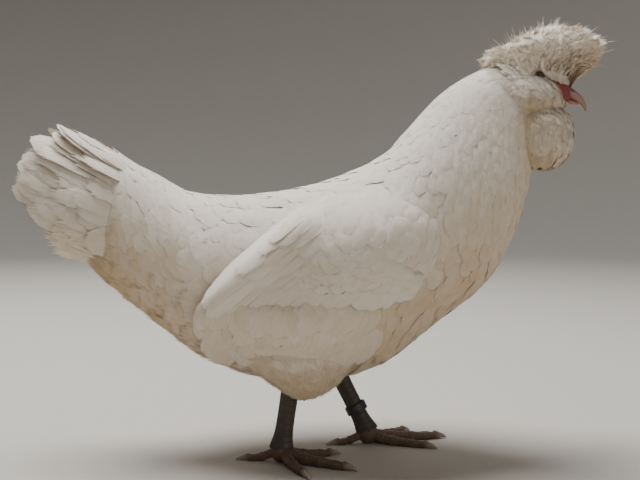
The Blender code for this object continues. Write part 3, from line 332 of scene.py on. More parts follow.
def rung_surface(rungs, poles, steps, columns, power, y=0.0, shift=(0.0, 0.0), dome=DOME_ROWS,
                 inset=0.0):
    """Rings through rungs, closed by domes out to the poles.

    A ring is the rung's half times cosine plus its half width along Y times sine, both raised
    to 2/power with their sign kept. A dome's rings shrink as a quarter circle towards the pole.
    """
    rows = rung_rows(rungs, steps)
    angles = np.arange(columns) * TAU / columns
    pair = np.stack((np.cos(angles), np.sin(angles)))
    along, across = np.sign(pair) * np.abs(pair) ** (2 / power)
    middle = (rows[:, 0:2] + rows[:, 2:4]) / 2
    reach = (rows[:, 0:2] - rows[:, 2:4]) / 2
    size = np.linalg.norm(reach, axis=1, keepdims=True)
    reach = reach * (1 - inset / size)
    flat = middle[:, None] + reach[:, None] * along[None, :, None]
    wide = y + (rows[:, 4] - inset)[:, None] * across[None, :]
    rings = np.stack((flat[..., 0] + shift[0], wide, flat[..., 1] + shift[1]), axis=-1)
    caps = []
    for pole, ring in zip(poles, (rings[0], rings[-1])):
        centre = ring.mean(axis=0)
        point = np.array((pole[0] + shift[0], y, pole[1] + shift[1]))
        away = point - centre
        point = centre + away * (1 - inset / np.linalg.norm(away))
        turn = np.linspace(0, math.pi / 2, dome + 1)[1:, None, None]
        caps.append(centre + (ring - centre)[None] * np.maximum(np.cos(turn), 1e-3)
                    + (point - centre) * np.sin(turn))
    return np.concatenate((caps[0][::-1], rings, caps[1]))


def ball_rings(ahead, across, third, start, rings, columns):
    """A unit ball's rings, from behind to ahead; the first is the angle start off its pole."""
    polar = np.linspace(start, math.pi - start, rings)[:, None, None]
    turn = (np.arange(columns) * TAU / columns)[None, :, None]
    ring = np.array(across) * np.cos(turn) + np.array(third) * np.sin(turn)
    return -np.array(ahead) * np.cos(polar) + ring * np.sin(polar)


def closed_rings(points):
    """Triangles of rings of points closed by a fan at each end, for points then two pole points."""
    rings, columns = points.shape[:2]
    ring, column = np.meshgrid(np.arange(rings - 1), np.arange(columns), indexing="ij")
    near = ring * columns + column
    beside = ring * columns + (column + 1) % columns
    first = np.stack((near, beside, beside + columns), axis=-1).reshape(-1, 3)
    second = np.stack((near, beside + columns, near + columns), axis=-1).reshape(-1, 3)
    turn = np.arange(columns)
    after = (turn + 1) % columns
    start = np.full(columns, rings * columns)
    last = (rings - 1) * columns
    cap = np.stack((start, after, turn), axis=-1)
    end = np.stack((start + 1, last + turn, last + after), axis=-1)
    poles = np.stack((points[0].mean(axis=0), points[-1].mean(axis=0)))
    return np.vstack((points.reshape(-1, 3), poles)), np.vstack((first, second, cap, end))


def outward(points, faces):
    """The faces, turned round if the volume that they enclose comes out negative."""
    a, b, c = points[faces[:, 0]], points[faces[:, 1]], points[faces[:, 2]]
    volume = (a * np.cross(b, c)).sum()
    return faces if volume > 0 else faces[:, ::-1]


def add_mesh(name, points, faces, material, uvs=None, values=None, smooth=True):
    """A mesh object from arrays, with UV maps and point values by name."""
    mesh = bpy.data.meshes.new(name)
    mesh.vertices.add(len(points))
    mesh.vertices.foreach_set("co", np.ascontiguousarray(points, np.float32).ravel())
    mesh.loops.add(faces.size)
    corners = np.ascontiguousarray(faces, np.int32).ravel()
    mesh.loops.foreach_set("vertex_index", corners)
    mesh.polygons.add(len(faces))
    mesh.polygons.foreach_set("loop_start", np.arange(0, faces.size, 3, dtype=np.int32))
    mesh.polygons.foreach_set("loop_total", np.full(len(faces), 3, np.int32))
    mesh.update(calc_edges=True)
    mesh.polygons.foreach_set("use_smooth", np.full(len(faces), smooth, bool))
    for uv_name, flat in (uvs or {}).items():
        layer = mesh.uv_layers.new(name=uv_name)
        flat = flat[corners] if len(flat) == len(points) else flat
        layer.data.foreach_set("uv", np.ascontiguousarray(flat, np.float32).ravel())
    for value_name, value in (values or {}).items():
        layer = mesh.attributes.new(value_name, "FLOAT", "POINT")
        layer.data.foreach_set("value", np.ascontiguousarray(value, np.float32).ravel())
    mesh.materials.append(material)
    piece = bpy.data.objects.new(name, mesh)
    bpy.context.scene.collection.objects.link(piece)
    return piece


def settle(piece, slot, *nodes):
    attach(piece, "root")
    if nodes:
        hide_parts(*nodes)
    return piece


def ring_mesh(name, rings, material, values=None, patch=WHOLE):
    """A closed piece of rings, with its unwrap: ring along one side, angle along the other."""
    points, faces = closed_rings(rings)
    faces = outward(points, faces)
    count, columns = rings.shape[:2]
    corner = faces.ravel()
    pole = corner >= count * columns
    pole_ring = np.where(corner == count * columns, 0, count - 1)
    ring = np.where(pole, pole_ring, corner // columns)
    column = np.where(pole, 0, corner % columns).astype(float).reshape(-1, 3)
    high = column.max(axis=1, keepdims=True)
    wraps = (high > columns * 0.75) & (column < columns * 0.25)
    column = np.where(wraps, column + columns, column)
    flat = on_patch(patch, ring / (count - 1), column.ravel() / (columns + 1))
    kept = {key: np.concatenate((value.ravel(), (value[0].mean(), value[-1].mean())))
            for key, value in (values or {}).items()}
    return add_mesh(name, points, faces, material, {"OFBake": flat}, kept)


def loop_mesh(name, rings, material):
    """A piece whose rings close on themselves both ways, as on a hoop."""
    count, columns = rings.shape[:2]
    ring, column = np.meshgrid(np.arange(count), np.arange(columns), indexing="ij")
    corners = np.stack([np.stack((ring + down, column + over), axis=-1)
                        for down, over in ((0, 0), (0, 1), (1, 1), (1, 0))], axis=2)
    flat = np.vstack([corners[:, :, picked].reshape(-1, 3, 2)
                      for picked in ([0, 1, 2], [0, 2, 3])])
    faces = flat[..., 0] % count * columns + flat[..., 1] % columns
    points = rings.reshape(-1, 3)
    turned = outward(points, faces)
    if turned is not faces:
        flat = flat[:, ::-1]
    flat = on_patch(WHOLE, flat[..., 0] / count, flat[..., 1] / columns).reshape(-1, 2)
    return add_mesh(name, points, turned, material, {"OFBake": flat})


def join_pieces(piece, others):
    """One closed surface out of overlapping ones."""
    group = bpy.data.collections.new("operands")
    for other in others:
        group.objects.link(other)
    union = piece.modifiers.new("union", "BOOLEAN")
    union.operation, union.operand_type, union.solver = "UNION", "COLLECTION", "MANIFOLD"
    union.collection = group
    depsgraph = bpy.context.evaluated_depsgraph_get()
    depsgraph.update()
    joined = bpy.data.meshes.new_from_object(piece.evaluated_get(depsgraph))
    piece.modifiers.clear()
    piece.data = joined
    for other in others:
        bpy.data.objects.remove(other, do_unlink=True)
    bpy.data.collections.remove(group)
    joined.polygons.foreach_set("use_smooth", np.ones(len(joined.polygons), bool))
    joined.update()
    return joined


# Feather forms. Each is a flat template: how far along a point is, how far out to the side, the
# strand that it belongs to, how far it follows that strand's own chance, and the triangles.

def comb_form(levels, cells, reach, widths, end):
    """A vane of rows and cells up to a reach, where each cell goes on into a point of its own.

    The column at w ends at 1 - end (1 - sqrt(1 - 0.96 w^2)) of the length, so the tip is round.
    """
    rows = np.linspace(0, reach, levels)
    columns = np.linspace(-1, 1, cells + 1)
    t, w = np.meshgrid(rows, columns, indexing="ij")
    share = np.interp(t, np.linspace(0, 1, len(widths)), widths)
    t = t * (1 - end * (1 - np.sqrt(1 - 0.96 * w**2)))
    tip = (columns[:-1] + columns[1:]) / 2
    tip_t = 1 - end * (1 - np.sqrt(1 - 0.96 * tip**2))
    flat = np.stack((t.ravel(), (w * share).ravel(), w.ravel() * 0.5 + 0.5), axis=-1)
    tips = np.stack((tip_t, tip * widths[-1], tip * 0.5 + 0.5), axis=-1)
    inner = np.tile(np.minimum(np.arange(cells + 1), cells - 1), levels)
    strand = np.concatenate((inner, np.arange(cells)))
    loose = np.concatenate((np.zeros(t.size), np.ones(cells)))
    faces = []
    for row in range(levels - 1):
        for cell in range(cells):
            near = row * (cells + 1) + cell
            far = near + cells + 1
            faces += [(near, near + 1, far + 1), (near, far + 1, far)]
    last = (levels - 1) * (cells + 1)
    for cell in range(cells):
        faces.append((last + cell, last + cell + 1, t.size + cell))
    table = np.vstack((flat, tips))
    return {"t": table[:, 0], "w": table[:, 1], "across": table[:, 2], "strand": strand,
            "loose": loose, "faces": np.array(faces), "strands": cells}


def fan_form(strands, segments, half):
    """Narrow strands from one root, fanned out, each tapering to a point."""
    t, w, strand, loose, faces, across = [], [], [], [], [], []
    for number, middle in enumerate(np.linspace(-1, 1, strands)):
        first = len(t)
        for step in range(segments):
            share = step / segments
            for edge in (-1, 1):
                t.append(share)
                w.append(middle * (0.12 + 0.88 * share) + edge * half * (1 - 0.6 * share))
                across.append(0.5 + 0.5 * edge)
        t.append(1.0)
        w.append(middle)
        across.append(0.5)
        strand += [number] * (2 * segments + 1)
        loose += [(step // 2) / segments for step in range(2 * segments)] + [1.0]
        for step in range(segments - 1):
            near = first + 2 * step
            faces += [(near, near + 1, near + 3), (near, near + 3, near + 2)]
        near = first + 2 * (segments - 1)
        faces.append((near, near + 1, near + 2))
    form = {"t": t, "w": w, "across": across, "strand": strand, "loose": loose, "faces": faces}
    return {key: np.array(value) for key, value in form.items()} | {"strands": strands}


CONTOUR = comb_form(6, 11, 0.93, (0.45, 0.85, 1.0, 1.0, 0.96, 0.85), 0.42)
SMALL = comb_form(3, 6, 0.60, (0.40, 0.90, 1.0, 0.80), 0.35)
SILK = comb_form(5, 8, 0.82, (0.45, 0.85, 1.0, 0.95, 0.85), 0.30)
HACKLE = comb_form(5, 8, 0.91, (0.50, 0.90, 1.0, 0.92, 0.75), 0.55)
PLUME = comb_form(6, 10, 0.88, (0.40, 0.80, 1.0, 1.0, 0.92, 0.80), 0.40)
FLIGHT = comb_form(12, 12, 0.985, (0.50, 0.85, 0.97, 1.0, 1.0, 0.98, 0.94, 0.85), 0.30)
DOWN = comb_form(5, 9, 0.66, (0.45, 0.90, 1.0, 0.95, 0.85), 0.30)
WISP = fan_form(7, 4, 0.08)

# How far strands stray: by how much shorter (a share), how far aside (half widths), how far up.
FLIGHT_STRAY = (0.03, 0.02, 0.0002)
SHOULDER_STRAY = (0.06, 0.04, 0.0003)
FLANK_STRAY = (0.08, 0.04, 0.0003)
THIGH_STRAY = (0.06, 0.03, 0.0003)
FLUFF_STRAY = (0.12, 0.04, 0.0003)
CREST_STRAY = (0.10, 0.04, 0.0003)
TUFT_STRAY = (0.14, 0.04, 0.0004)
DOWN_STRAY = (0.22, 0.06, 0.0006)
WISP_STRAY = (0.30, 0.30, 0.0015)

# Coats of the body: first and last rung, form, how strands stray, lift, how far a tip bends down.
BODY_COATS = {
    "coat_rear": (-1.0, 5.5, CONTOUR, (0.07, 0.04, 0.0003), 0.0008, 0.0011),
    "coat_breast": (5.5, 10.2, CONTOUR, (0.06, 0.03, 0.0002), 0.0007, 0.0011),
    "coat_neck": (10.2, 14.2, HACKLE, (0.08, 0.03, 0.0001), 0.0004, 0.0011),
    "coat_head": (14.2, 30.0, SMALL, (0.15, 0.08, 0.0003), 0.0008, 0.0004),
}
# A wing's tiers: reach along its lines, half width, height, form, shaft's height, tilt.
WING_TIERS = (
    (1.00, 0.0118, 0.0035, FLIGHT, 0.0003, 0.0010),
    (0.70, 0.0110, 0.0050, CONTOUR, 0.0, 0.0020),
    (0.54, 0.0102, 0.0062, CONTOUR, 0.0, 0.0026),
    (0.38, 0.0096, 0.0074, CONTOUR, 0.0, 0.0030),
)
WING_COVERTS = 14
FLANK_ROWS, FLANK_IN_ROW = 4, 16
# Materials of the coat: name, barbs along a feather, their depth, how much brighter.
FINISHES = {
    "coat": ("White feather", 480.0, 0.00005, 1.0),
    "flight": ("White flight feather", 900.0, 0.00004, 1.0),
    # The crest's copy is painted brighter: painted light standing in for the top light on the crest
    # and the light through its thin plumes.
    "crest": ("White crest feather", 480.0, 0.00005, 1.12),
}
THIGH_FEATHERS = 420


def strand_places(form, count, draw, stray):
    """The template's places for each feather, where each strand strays by its own chance."""
    short, sway, rise = stray
    size, strand, loose = (count, form["strands"]), form["strand"], form["loose"]
    lack = draw.uniform(-short, short * 0.3, size)[:, strand] * loose
    lean = draw.normal(0, sway, size)[:, strand] * loose
    stand = draw.normal(0, rise, size)[:, strand] * loose
    return form["t"][None] + lack, form["w"][None] + lean, stand


def shaft_rib(t, w):
    """The shaft's height, 1 at its root: a ridge a sixth of the vane wide, lower to the tip."""
    return np.clip(1 - np.abs(w) * 6, 0, 1) * (1 - 0.6 * np.clip(t, 0, 1))


def feather_piece(name, places, form, unwrap, warmth, material, *nodes):
    """A piece of many feathers: places is (feathers, points, 3); warmth tints each feather, with
    random tone and painted shade.
    """
    count, size = places.shape[:2]
    faces = (form["faces"][None] + (np.arange(count) * size)[:, None, None]).reshape(-1, 3)
    flat = np.stack((form["w"] * 0.5, form["t"] - 0.5), axis=-1) * PATCH
    bake = np.clip(unwrap[:, None] + flat[None], 0.001, 0.999).reshape(-1, 2)
    vane = np.tile(np.stack((form["across"], form["t"]), axis=-1), (count, 1))
    values = {"warmth": np.repeat(warmth, size), "along": np.tile(form["t"], count)}
    piece = add_mesh(name, places.reshape(-1, 3), faces, material,
                     {"OFBake": bake, "Vane": vane}, values)
    return settle(piece, "plumage", *nodes)


def draped(surface, u, v, length, half, skew, form, draw, stray, heading=-1.0, depth=0.004,
           lift=0.001, cup=0.06, bulge=None, tuck=0.0):
    """Feathers that follow a surface: each point goes t lengths along and w half widths aside.

    Its height is -depth at the root and rises as t^0.6 to the lift, less cup w^2, and its last
    part bends down by the tuck, so that the tip closes on the feathers below.
    """
    t, w, stand = strand_places(form, len(u), draw, stray)
    forward = t * length[:, None]
    aside = -heading * surface.flip * w * half[:, None]
    skew = skew[:, None]
    go_u = heading * (forward * np.cos(skew) - aside * np.sin(skew))
    go_v = forward * np.sin(skew) + aside * np.cos(skew)
    middle = u + heading * length / 2 / surface.read(surface.ring_size, u, v)
    at_u = u[:, None] + go_u / surface.read(surface.ring_size, middle, v)[:, None]
    at_v = v[:, None] + go_v / surface.read(surface.turn_size, middle, v)[:, None]
    depth, lift = [np.broadcast_to(value, u.shape)[:, None] for value in (depth, lift)]
    height = -depth + (depth + lift) * np.clip(t, 0, 1.2) ** 0.6
    height = height - cup * half[:, None] * w**2 + stand
    height = height - tuck * np.clip((t - 0.55) / 0.45, 0, 1) ** 2
    return surface.place(at_u, at_v, height, bulge)


def curved(root, bend, tip, broad, half, form, draw, stray, cup):
    """Free feathers on curves (1-t)^2 root + 2t(1-t) bend + t^2 tip.

    The broad side's direction is made square to the curve; the edges fall back by cup w^2.
    """
    t, w, stand = [part[..., None] for part in strand_places(form, len(root), draw, stray)]
    root, bend, tip = root[:, None], bend[:, None], tip[:, None]
    path = (1 - t) ** 2 * root + 2 * t * (1 - t) * bend + t**2 * tip
    ahead = unit(2 * (1 - t) * (bend - root) + 2 * t * (tip - bend))
    broad = broad[:, None]
    normal = unit(broad - ahead * (broad * ahead).sum(axis=-1, keepdims=True))
    half = half[:, None, None]
    return path + np.cross(ahead, normal) * w * half + normal * (stand - cup * half * w**2)


# Materials

def shade(colour, share):
    """A colour made darker or brighter."""
    return tuple(min(part * share, 1.0) for part in colour)


def new_material(name, colour, roughness, **sockets):
    material = bpy.data.materials.new(name)
    material.use_nodes = True
    shader = material.node_tree.nodes["Principled BSDF"]
    sockets = {"Base_Color": (*colour, 1.0), "Roughness": roughness, **sockets}
    for socket, value in sockets.items():
        shader.inputs[socket.replace("_", " ")].default_value = value
    return material, material.node_tree


def add_node(tree, kind, inputs=None, **settings):
    node = tree.nodes.new(kind)
    for key, value in settings.items():
        setattr(node, key, value)
    for key, value in (inputs or {}).items():
        if isinstance(value, bpy.types.NodeSocket):
            tree.links.new(value, node.inputs[key])
        else:
            node.inputs[key].default_value = value
    return node


def calculate(tree, operation, first, second=0.0, clamp=False):
    node = add_node(tree, "ShaderNodeMath", {0: first, 1: second}, operation=operation,
                    use_clamp=clamp)
    return node.outputs[0]


def times(tree, first, second):
    return calculate(tree, "MULTIPLY", first, second)


def spread(tree, value, width):
    """How far a value is from one half, times a width."""
    return times(tree, calculate(tree, "SUBTRACT", value, 0.5), width)


def blend_colours(tree, share, first, second):
    node = add_node(tree, "ShaderNodeMix", data_type="RGBA")
    for index, value in ((0, share), (6, first), (7, second)):
        if isinstance(value, bpy.types.NodeSocket):
            tree.links.new(value, node.inputs[index])
        else:
            node.inputs[index].default_value = value if index == 0 else (*value, 1.0)
    return node.outputs[2]


def value_of(tree, name):
    return add_node(tree, "ShaderNodeAttribute", attribute_name=name).outputs["Fac"]


def object_place(tree):
    return add_node(tree, "ShaderNodeTexCoord").outputs["Object"]


def noise(tree, place, scale, detail):
    inputs = {"Vector": place, "Scale": scale, "Detail": detail}
    return add_node(tree, "ShaderNodeTexNoise", inputs).outputs["Fac"]


def object_noise(tree, scale, detail=3.0, stretch=(1, 1, 1)):
    place = add_node(tree, "ShaderNodeMapping", {"Vector": object_place(tree), "Scale": stretch})
    return noise(tree, place.outputs[0], scale, detail)


def object_cells(tree, scale, **settings):
    inputs = {"Vector": object_place(tree), "Scale": scale}
    return add_node(tree, "ShaderNodeTexVoronoi", inputs, **settings).outputs["Distance"]


def finish(material, colour, height, distance, strength):
    """Lay a colour and a bump on a material."""
    tree = material.node_tree
    shader = tree.nodes["Principled BSDF"]
    bump = add_node(tree, "ShaderNodeBump",
                    {"Height": height, "Distance": distance, "Strength": strength})
    tree.links.new(colour, shader.inputs["Base Color"])
    tree.links.new(bump.outputs[0], shader.inputs["Normal"])
    return material


def plumage_material(name, white, cream, barbs, depth):
    """White feather, cream by its warmth, which holds random tone and painted shade, with fine
    barbs slanting off the shaft.
    """
    material, tree = new_material(name, white, 0.78, Sheen_Weight=0.25, Sheen_Roughness=0.5)
    patches = spread(tree, object_noise(tree, 26.0), 0.45)
    warmth = value_of(tree, "warmth")
    flat = add_node(tree, "ShaderNodeUVMap", uv_map="Vane").outputs[0]
    across, along, _ = add_node(tree, "ShaderNodeSeparateXYZ", {0: flat}).outputs
    own = add_node(tree, "ShaderNodeCombineXYZ", {
        0: calculate(tree, "ADD", times(tree, across, 7.0), times(tree, warmth, 37.0)),
        1: times(tree, along, 0.9), 2: times(tree, warmth, 91.0)})
    streaks = spread(tree, noise(tree, own.outputs[0], 1.0, 3.0), 0.45)
    share = calculate(tree, "ADD", calculate(tree, "ADD", warmth, streaks), patches, clamp=True)
    colour = blend_colours(tree, share, white, cream)
    rooted = calculate(tree, "SUBTRACT", 1.0, value_of(tree, "along"), clamp=True)
    colour = blend_colours(tree, times(tree, rooted, 0.05), colour, shade(cream, 0.72))
    aside = calculate(tree, "ABSOLUTE", calculate(tree, "SUBTRACT", across, 0.5))
    slant = calculate(tree, "SUBTRACT", times(tree, along, barbs), times(tree, aside, barbs * 0.9))
    uneven = times(tree, object_noise(tree, 260.0), 5.0)
    ridges = calculate(tree, "SINE", calculate(tree, "ADD", slant, uneven))
    return finish(material, colour, ridges, depth, 0.7)


def skin_material(colours):
    """Pale skin under the coat, red and finely pimpled where it is bare."""
    material, tree = new_material("Hen skin", colours.covered, 0.62)
    mottle = object_noise(tree, 420.0, 4.0)
    red = blend_colours(tree, mottle, shade(colours.face_red, 0.55), colours.face_red)
    colour = blend_colours(tree, value_of(tree, "bare"), colours.covered, red)
    return finish(material, colour, object_cells(tree, 1500.0), 0.0002, 0.8)


def horn_material(name, base, tip, dark, roughness):
    """Horn that goes from its base colour to its tip colour, darkened by its dark value: painted
    shade in the nostril's slit, and darker towards a claw's root.
    """
    material, tree = new_material(name, base, roughness, Coat_Weight=0.15, Coat_Roughness=0.3)
    streaks = object_noise(tree, 300.0, 4.0, (1.0, 3.0, 3.0))
    uneven = spread(tree, streaks, 0.35)
    along = calculate(tree, "ADD", value_of(tree, "along"), uneven, clamp=True)
    colour = blend_colours(tree, along, base, tip)
    colour = blend_colours(tree, value_of(tree, "dark"), colour, dark)
    return finish(material, colour, streaks, 0.00012, 0.6)


def flesh_material(name, light, deep, roughness):
    material, tree = new_material(name, light, roughness, Subsurface_Weight=0.1,
                                  Subsurface_Scale=0.001)
    colour = blend_colours(tree, object_noise(tree, 500.0, 4.0), deep, light)
    return finish(material, colour, object_cells(tree, 1400.0), 0.00025, 0.8)


def leg_material(name, light, crease):
    """Scaled leg skin: its plates' edges are marked as creases, small scales fill the rest."""
    material, tree = new_material(name, light, 0.55, Coat_Weight=0.05, Coat_Roughness=0.5)
    gaps = object_cells(tree, 620.0, feature="DISTANCE_TO_EDGE")
    seams = calculate(tree, "SUBTRACT", 1.0, times(tree, gaps, 7.0), clamp=True)
    seams = times(tree, seams, value_of(tree, "small"))
    colour = blend_colours(tree, object_noise(tree, 150.0, 5.0), shade(light, 0.62), light)
    creased = calculate(tree, "MAXIMUM", value_of(tree, "crease"), times(tree, seams, 0.7))
    colour = blend_colours(tree, times(tree, creased, 0.75), colour, crease)
    return finish(material, colour, calculate(tree, "SUBTRACT", 1.0, seams), 0.0002, 0.7)


def ring_material(ring):
    """Dull plastic, worn lighter in spots."""
    material, tree = new_material("Leg ring plastic", ring, 0.42)
    worn = object_noise(tree, 900.0, 4.0)
    return finish(material, blend_colours(tree, worn, ring, shade(ring, 2.2)), worn, 0.00005, 0.5)


def eye_material(iris):
    """A wet eye: pupil, iris and dark rim by the angle from its axis."""
    pupil, rim, white = (0.006, 0.005, 0.004), (0.03, 0.02, 0.015), (0.05, 0.035, 0.03)
    material, tree = new_material("Hen eye", iris, 0.06, Coat_Weight=0.6, Coat_Roughness=0.03)
    ramp = add_node(tree, "ShaderNodeValToRGB", {0: value_of(tree, "turn")})
    stops = ramp.color_ramp.elements
    stops[0].position, stops[0].color = 0.0, (*pupil, 1)
    stops[1].position, stops[1].color = 1.0, (*white, 1)
    for place, colour in ((0.13, pupil), (0.15, iris), (0.23, iris), (0.27, rim)):
        stops.new(place).color = (*colour, 1)
    shader = tree.nodes["Principled BSDF"]
    tree.links.new(ramp.outputs[0], shader.inputs["Base Color"])
    return material


# Where the coat lies and what it is like

def rung_number(ring):
    return (ring - DOME_ROWS) / BODY_STEPS


def coat_value(values, ring):
    return np.interp(rung_number(ring), COAT_RUNGS, values)


def strip_depth(points, strip):
    """How far a point lies inside a strip on the face, seen from the side; negative outside."""
    (start_x, start_z), (end_x, end_z), start_half, end_half = strip
    x, z = points[..., 0], points[..., 2]
    ahead = np.array((end_x - start_x, end_z - start_z))
    share = ((x - start_x) * ahead[0] + (z - start_z) * ahead[1]) / (ahead @ ahead)
    share = np.clip(share, 0, 1)
    gap = np.hypot(x - start_x - share * ahead[0], z - start_z - share * ahead[1])
    return start_half + (end_half - start_half) * share - gap


def bare_depth(points):
    return np.maximum(strip_depth(points, BARE_STRIP), strip_depth(points, MOUTH_STRIP))


def warmth_with_painted_shade_at(surface, u, v):
    """Painted warm shade: warmer on what faces down, for its shade and the floor's warm bounce
    light; warmer in the painted shade of the crease between muff and beard; and warmer low down
    towards the rear.
    """
    points, normals = surface.read(surface.points, u, v), surface.read(surface.normals, u, v)
    # Painted shade and painted warm bounce light from the floor: cream grows as the surface faces
    # down.
    under = 0.78 * smooth_step(0.46 - normals[..., 2] * 0.72)
    # Painted shade in the crease where the muff meets the beard, along a sloping band.
    x, z = points[..., 0] - 0.180, points[..., 2] - 0.280
    along, aside = (x * 0.79 + z * 0.62) / 0.016, (z * 0.79 - x * 0.62) / 0.007
    painted_crease_shade = 0.55 * np.exp(-(along**2) - aside**2)
    rear, low = smooth_step((-0.08 - points[..., 0]) / 0.08), (0.20 - points[..., 2]) / 0.06
    return under + painted_crease_shade + 0.25 * rear * smooth_step(low)


BODY = Surface(rung_surface(BODY_RUNGS, BODY_POLES, BODY_STEPS, BODY_COLUMNS, BODY_POWER))
BODY_LINES = rung_rows(BODY_RUNGS, BODY_STEPS)


def side_place(x, z, side):
    """Where a line along Y through (x, z) leaves the body: its ring and angle.

    The point lies on the ring whose line its offset is parallel to; the share along that line
    gives the angle's cosine.
    """
    middle = (BODY_LINES[:, 0:2] + BODY_LINES[:, 2:4]) / 2
    reach = (BODY_LINES[:, 0:2] - BODY_LINES[:, 2:4]) / 2
    size = np.linalg.norm(reach, axis=1)
    gap_x, gap_z = x[..., None] - middle[:, 0], z[..., None] - middle[:, 1]
    aside = (gap_x * reach[:, 1] - gap_z * reach[:, 0]) / size
    along = (gap_x * reach[:, 0] + gap_z * reach[:, 1]) / size**2
    crossed = (aside[..., :-1] * aside[..., 1:] <= 0) & (np.abs(along[..., :-1]) < 1.05)
    ring = np.argmax(crossed, axis=-1)[..., None]
    near, far = [np.take_along_axis(aside, at, -1) for at in (ring, ring + 1)]
    share = near / np.where(np.abs(near - far) < 1e-12, 1e-12, near - far)
    share = np.clip(share, 0, 1)
    before, after = [np.take_along_axis(along, at, -1) for at in (ring, ring + 1)]
    cosine = before * (1 - share) + after * share
    cosine = np.clip(np.sign(cosine) * np.abs(cosine) ** (BODY_POWER / 2), -1, 1)
    return (ring + share + DOME_ROWS)[..., 0], (np.arccos(cosine) * side)[..., 0]


def unwrap_near(points):
    """The unwrap's place of the body point nearest to each point, on a coarse grid."""
    coarse = BODY.points[::4, ::4]
    gaps = np.linalg.norm(points[:, None] - coarse.reshape(-1, 3)[None], axis=-1)
    ring, column = np.divmod(gaps.argmin(axis=1), coarse.shape[1])
    return BODY.unwrap(ring * 4.0, column * 4.0 / BODY.columns * TAU)


def thigh_surface(side, inset=0.0, rungs=THIGH_RUNGS):
    rings = rung_surface(rungs, THIGH_POLES, 6, 48, 2.2, side * THIGH_Y, THIGH_SHIFT[side], 5,
                         inset)
    low = 0.02 if side == RIGHT else 0.52
    return Surface(rings, (low, low + 0.46, 0.76, 0.98))


def crest_rings(share):
    """The crest's outline, drawn in towards its heart."""
    rungs = [(row[0:2], row[2:4], row[4]) for row in CREST_RUNGS[1:-1]]
    rings = rung_surface(rungs, ((0.186, 0.318), (0.2, 0.3555)), 6, 64, 2.0, dome=6)
    return np.array(CREST_HEART) + (rings - np.array(CREST_HEART)) * share


def tuft_surface(egg, side, share=1.0):
    """An egg carried to a side: a ball's rings scaled by its half sizes."""
    mirror = np.array((1.0, side, 1.0))
    centre, sizes, ahead = [np.array(part) for part in egg]
    ahead = unit(ahead * mirror)
    across = unit(np.cross(ahead, (0.3, 1.0, 0.2)))
    ball = ball_rings(ahead, across, np.cross(ahead, across), 0.02, 28, 48)
    return Surface(centre * mirror + ball * sizes * share)


def eye_frame(side):
    """The eye's middle and its axes: forwards along the slit, upwards, outwards."""
    low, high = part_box("eye_" + SIDES[side])
    centre = np.array((low + high) / 2)
    ring, angle = side_place(centre[:1], centre[2:], side)
    outwards = unit(BODY.read(BODY.normals, ring, angle)[0] - EYE_TURN)
    forwards = unit(np.array(EYE_SLIT) - outwards * (outwards @ EYE_SLIT))
    upwards = np.cross(outwards, forwards) * -side
    upwards = upwards if upwards[2] > 0 else -upwards
    return centre, forwards, upwards, outwards


# Pieces

def make_skin(material):
    """The body drawn in by the coat's depth, with the thighs and the tufts' cores, in one."""
    depth = coat_value(COAT_DEPTH, np.arange(BODY.rings))[:, None, None]
    rings = BODY.points - BODY.normals * depth
    skin = ring_mesh("skin", rings, material, None, (0.02, 0.98, 0.02, 0.72))
    cores = []
    for side in SIDES:
        thigh, muff = thigh_surface(side, 0.006), tuft_surface(MUFF_EGG, side, TUFT_CORE)
        cores.append(("thigh_core", thigh.points, thigh.patch))
        cores.append(("muff_core", muff.points, (0.02, 0.2, 0.73, 0.75)))
    beard = tuft_surface(BEARD_EGG, LEFT, TUFT_CORE)
    cores.append(("beard_core", beard.points, (0.3, 0.5, 0.73, 0.75)))
    cores.append(("crest_core", crest_rings(CREST_CORE), (0.6, 0.7, 0.73, 0.75)))
    joined = join_pieces(skin, [ring_mesh(name, points, material, None, patch)
                                for name, points, patch in cores])
    points = np.empty(len(joined.vertices) * 3, np.float32)
    joined.vertices.foreach_get("co", points)
    inside = bare_depth(points.reshape(-1, 3).astype(float)) + BARE_EDGE
    bare = smooth_step(0.5 + inside / BARE_EDGE)
    layer = joined.attributes.new("bare", "FLOAT", "POINT")
    layer.data.foreach_set("value", bare.astype(np.float32))
    return settle(skin, "plumage", "torso", "neck", "head", "thigh_left", "thigh_right")


def coat_weight():
    """How thickly feathers stand at each body point: more where small, none on bare skin."""
    rings = np.arange(BODY.rings)
    size = coat_value(COAT_LENGTH, rings) * coat_value(COAT_HALF, rings)
    x, z = BODY.points[..., 0], BODY.points[..., 2]
    weight = (1 / size)[:, None] * (bare_depth(BODY.points) < -0.0004)
    weight *= ~((x > BILL_EDGE[0]) & (z < BILL_EDGE[1]))
    for side in SIDES:
        weight *= np.linalg.norm(BODY.points - eye_frame(side)[0], axis=-1) > 0.0054
    weight[:3] = weight[-4:] = 0
    return weight


def swell(x, z):
    """The wing's height over the body, a dome: H (1 - q)^1.5, q the squared share of its sizes."""
    middle_x, middle_z, half_x, half_z, slope, height = WING_SWELL
    q = ((x - middle_x) / half_x) ** 2 + ((z - middle_z - slope * (x - middle_x)) / half_z) ** 2
    return height * np.clip(1 - q, 0, 1) ** 1.5


def ridge(x, z):
    """The band of folded feathers: H exp(-(distance from its middle line / half width)^2)."""
    start_x, start_z, end_x, end_z, half, height = WING_RIDGE
    ahead = np.array((end_x - start_x, end_z - start_z))
    share = ((x - start_x) * ahead[0] + (z - start_z) * ahead[1]) / (ahead @ ahead)
    gap = ((x - start_x) * ahead[1] - (z - start_z) * ahead[0]) / np.linalg.norm(ahead)
    ends = smooth_step((share + 0.25) / 0.45) * smooth_step((1.25 - share) / 0.35)
    return height * np.exp(-((gap / half) ** 2)) * ends


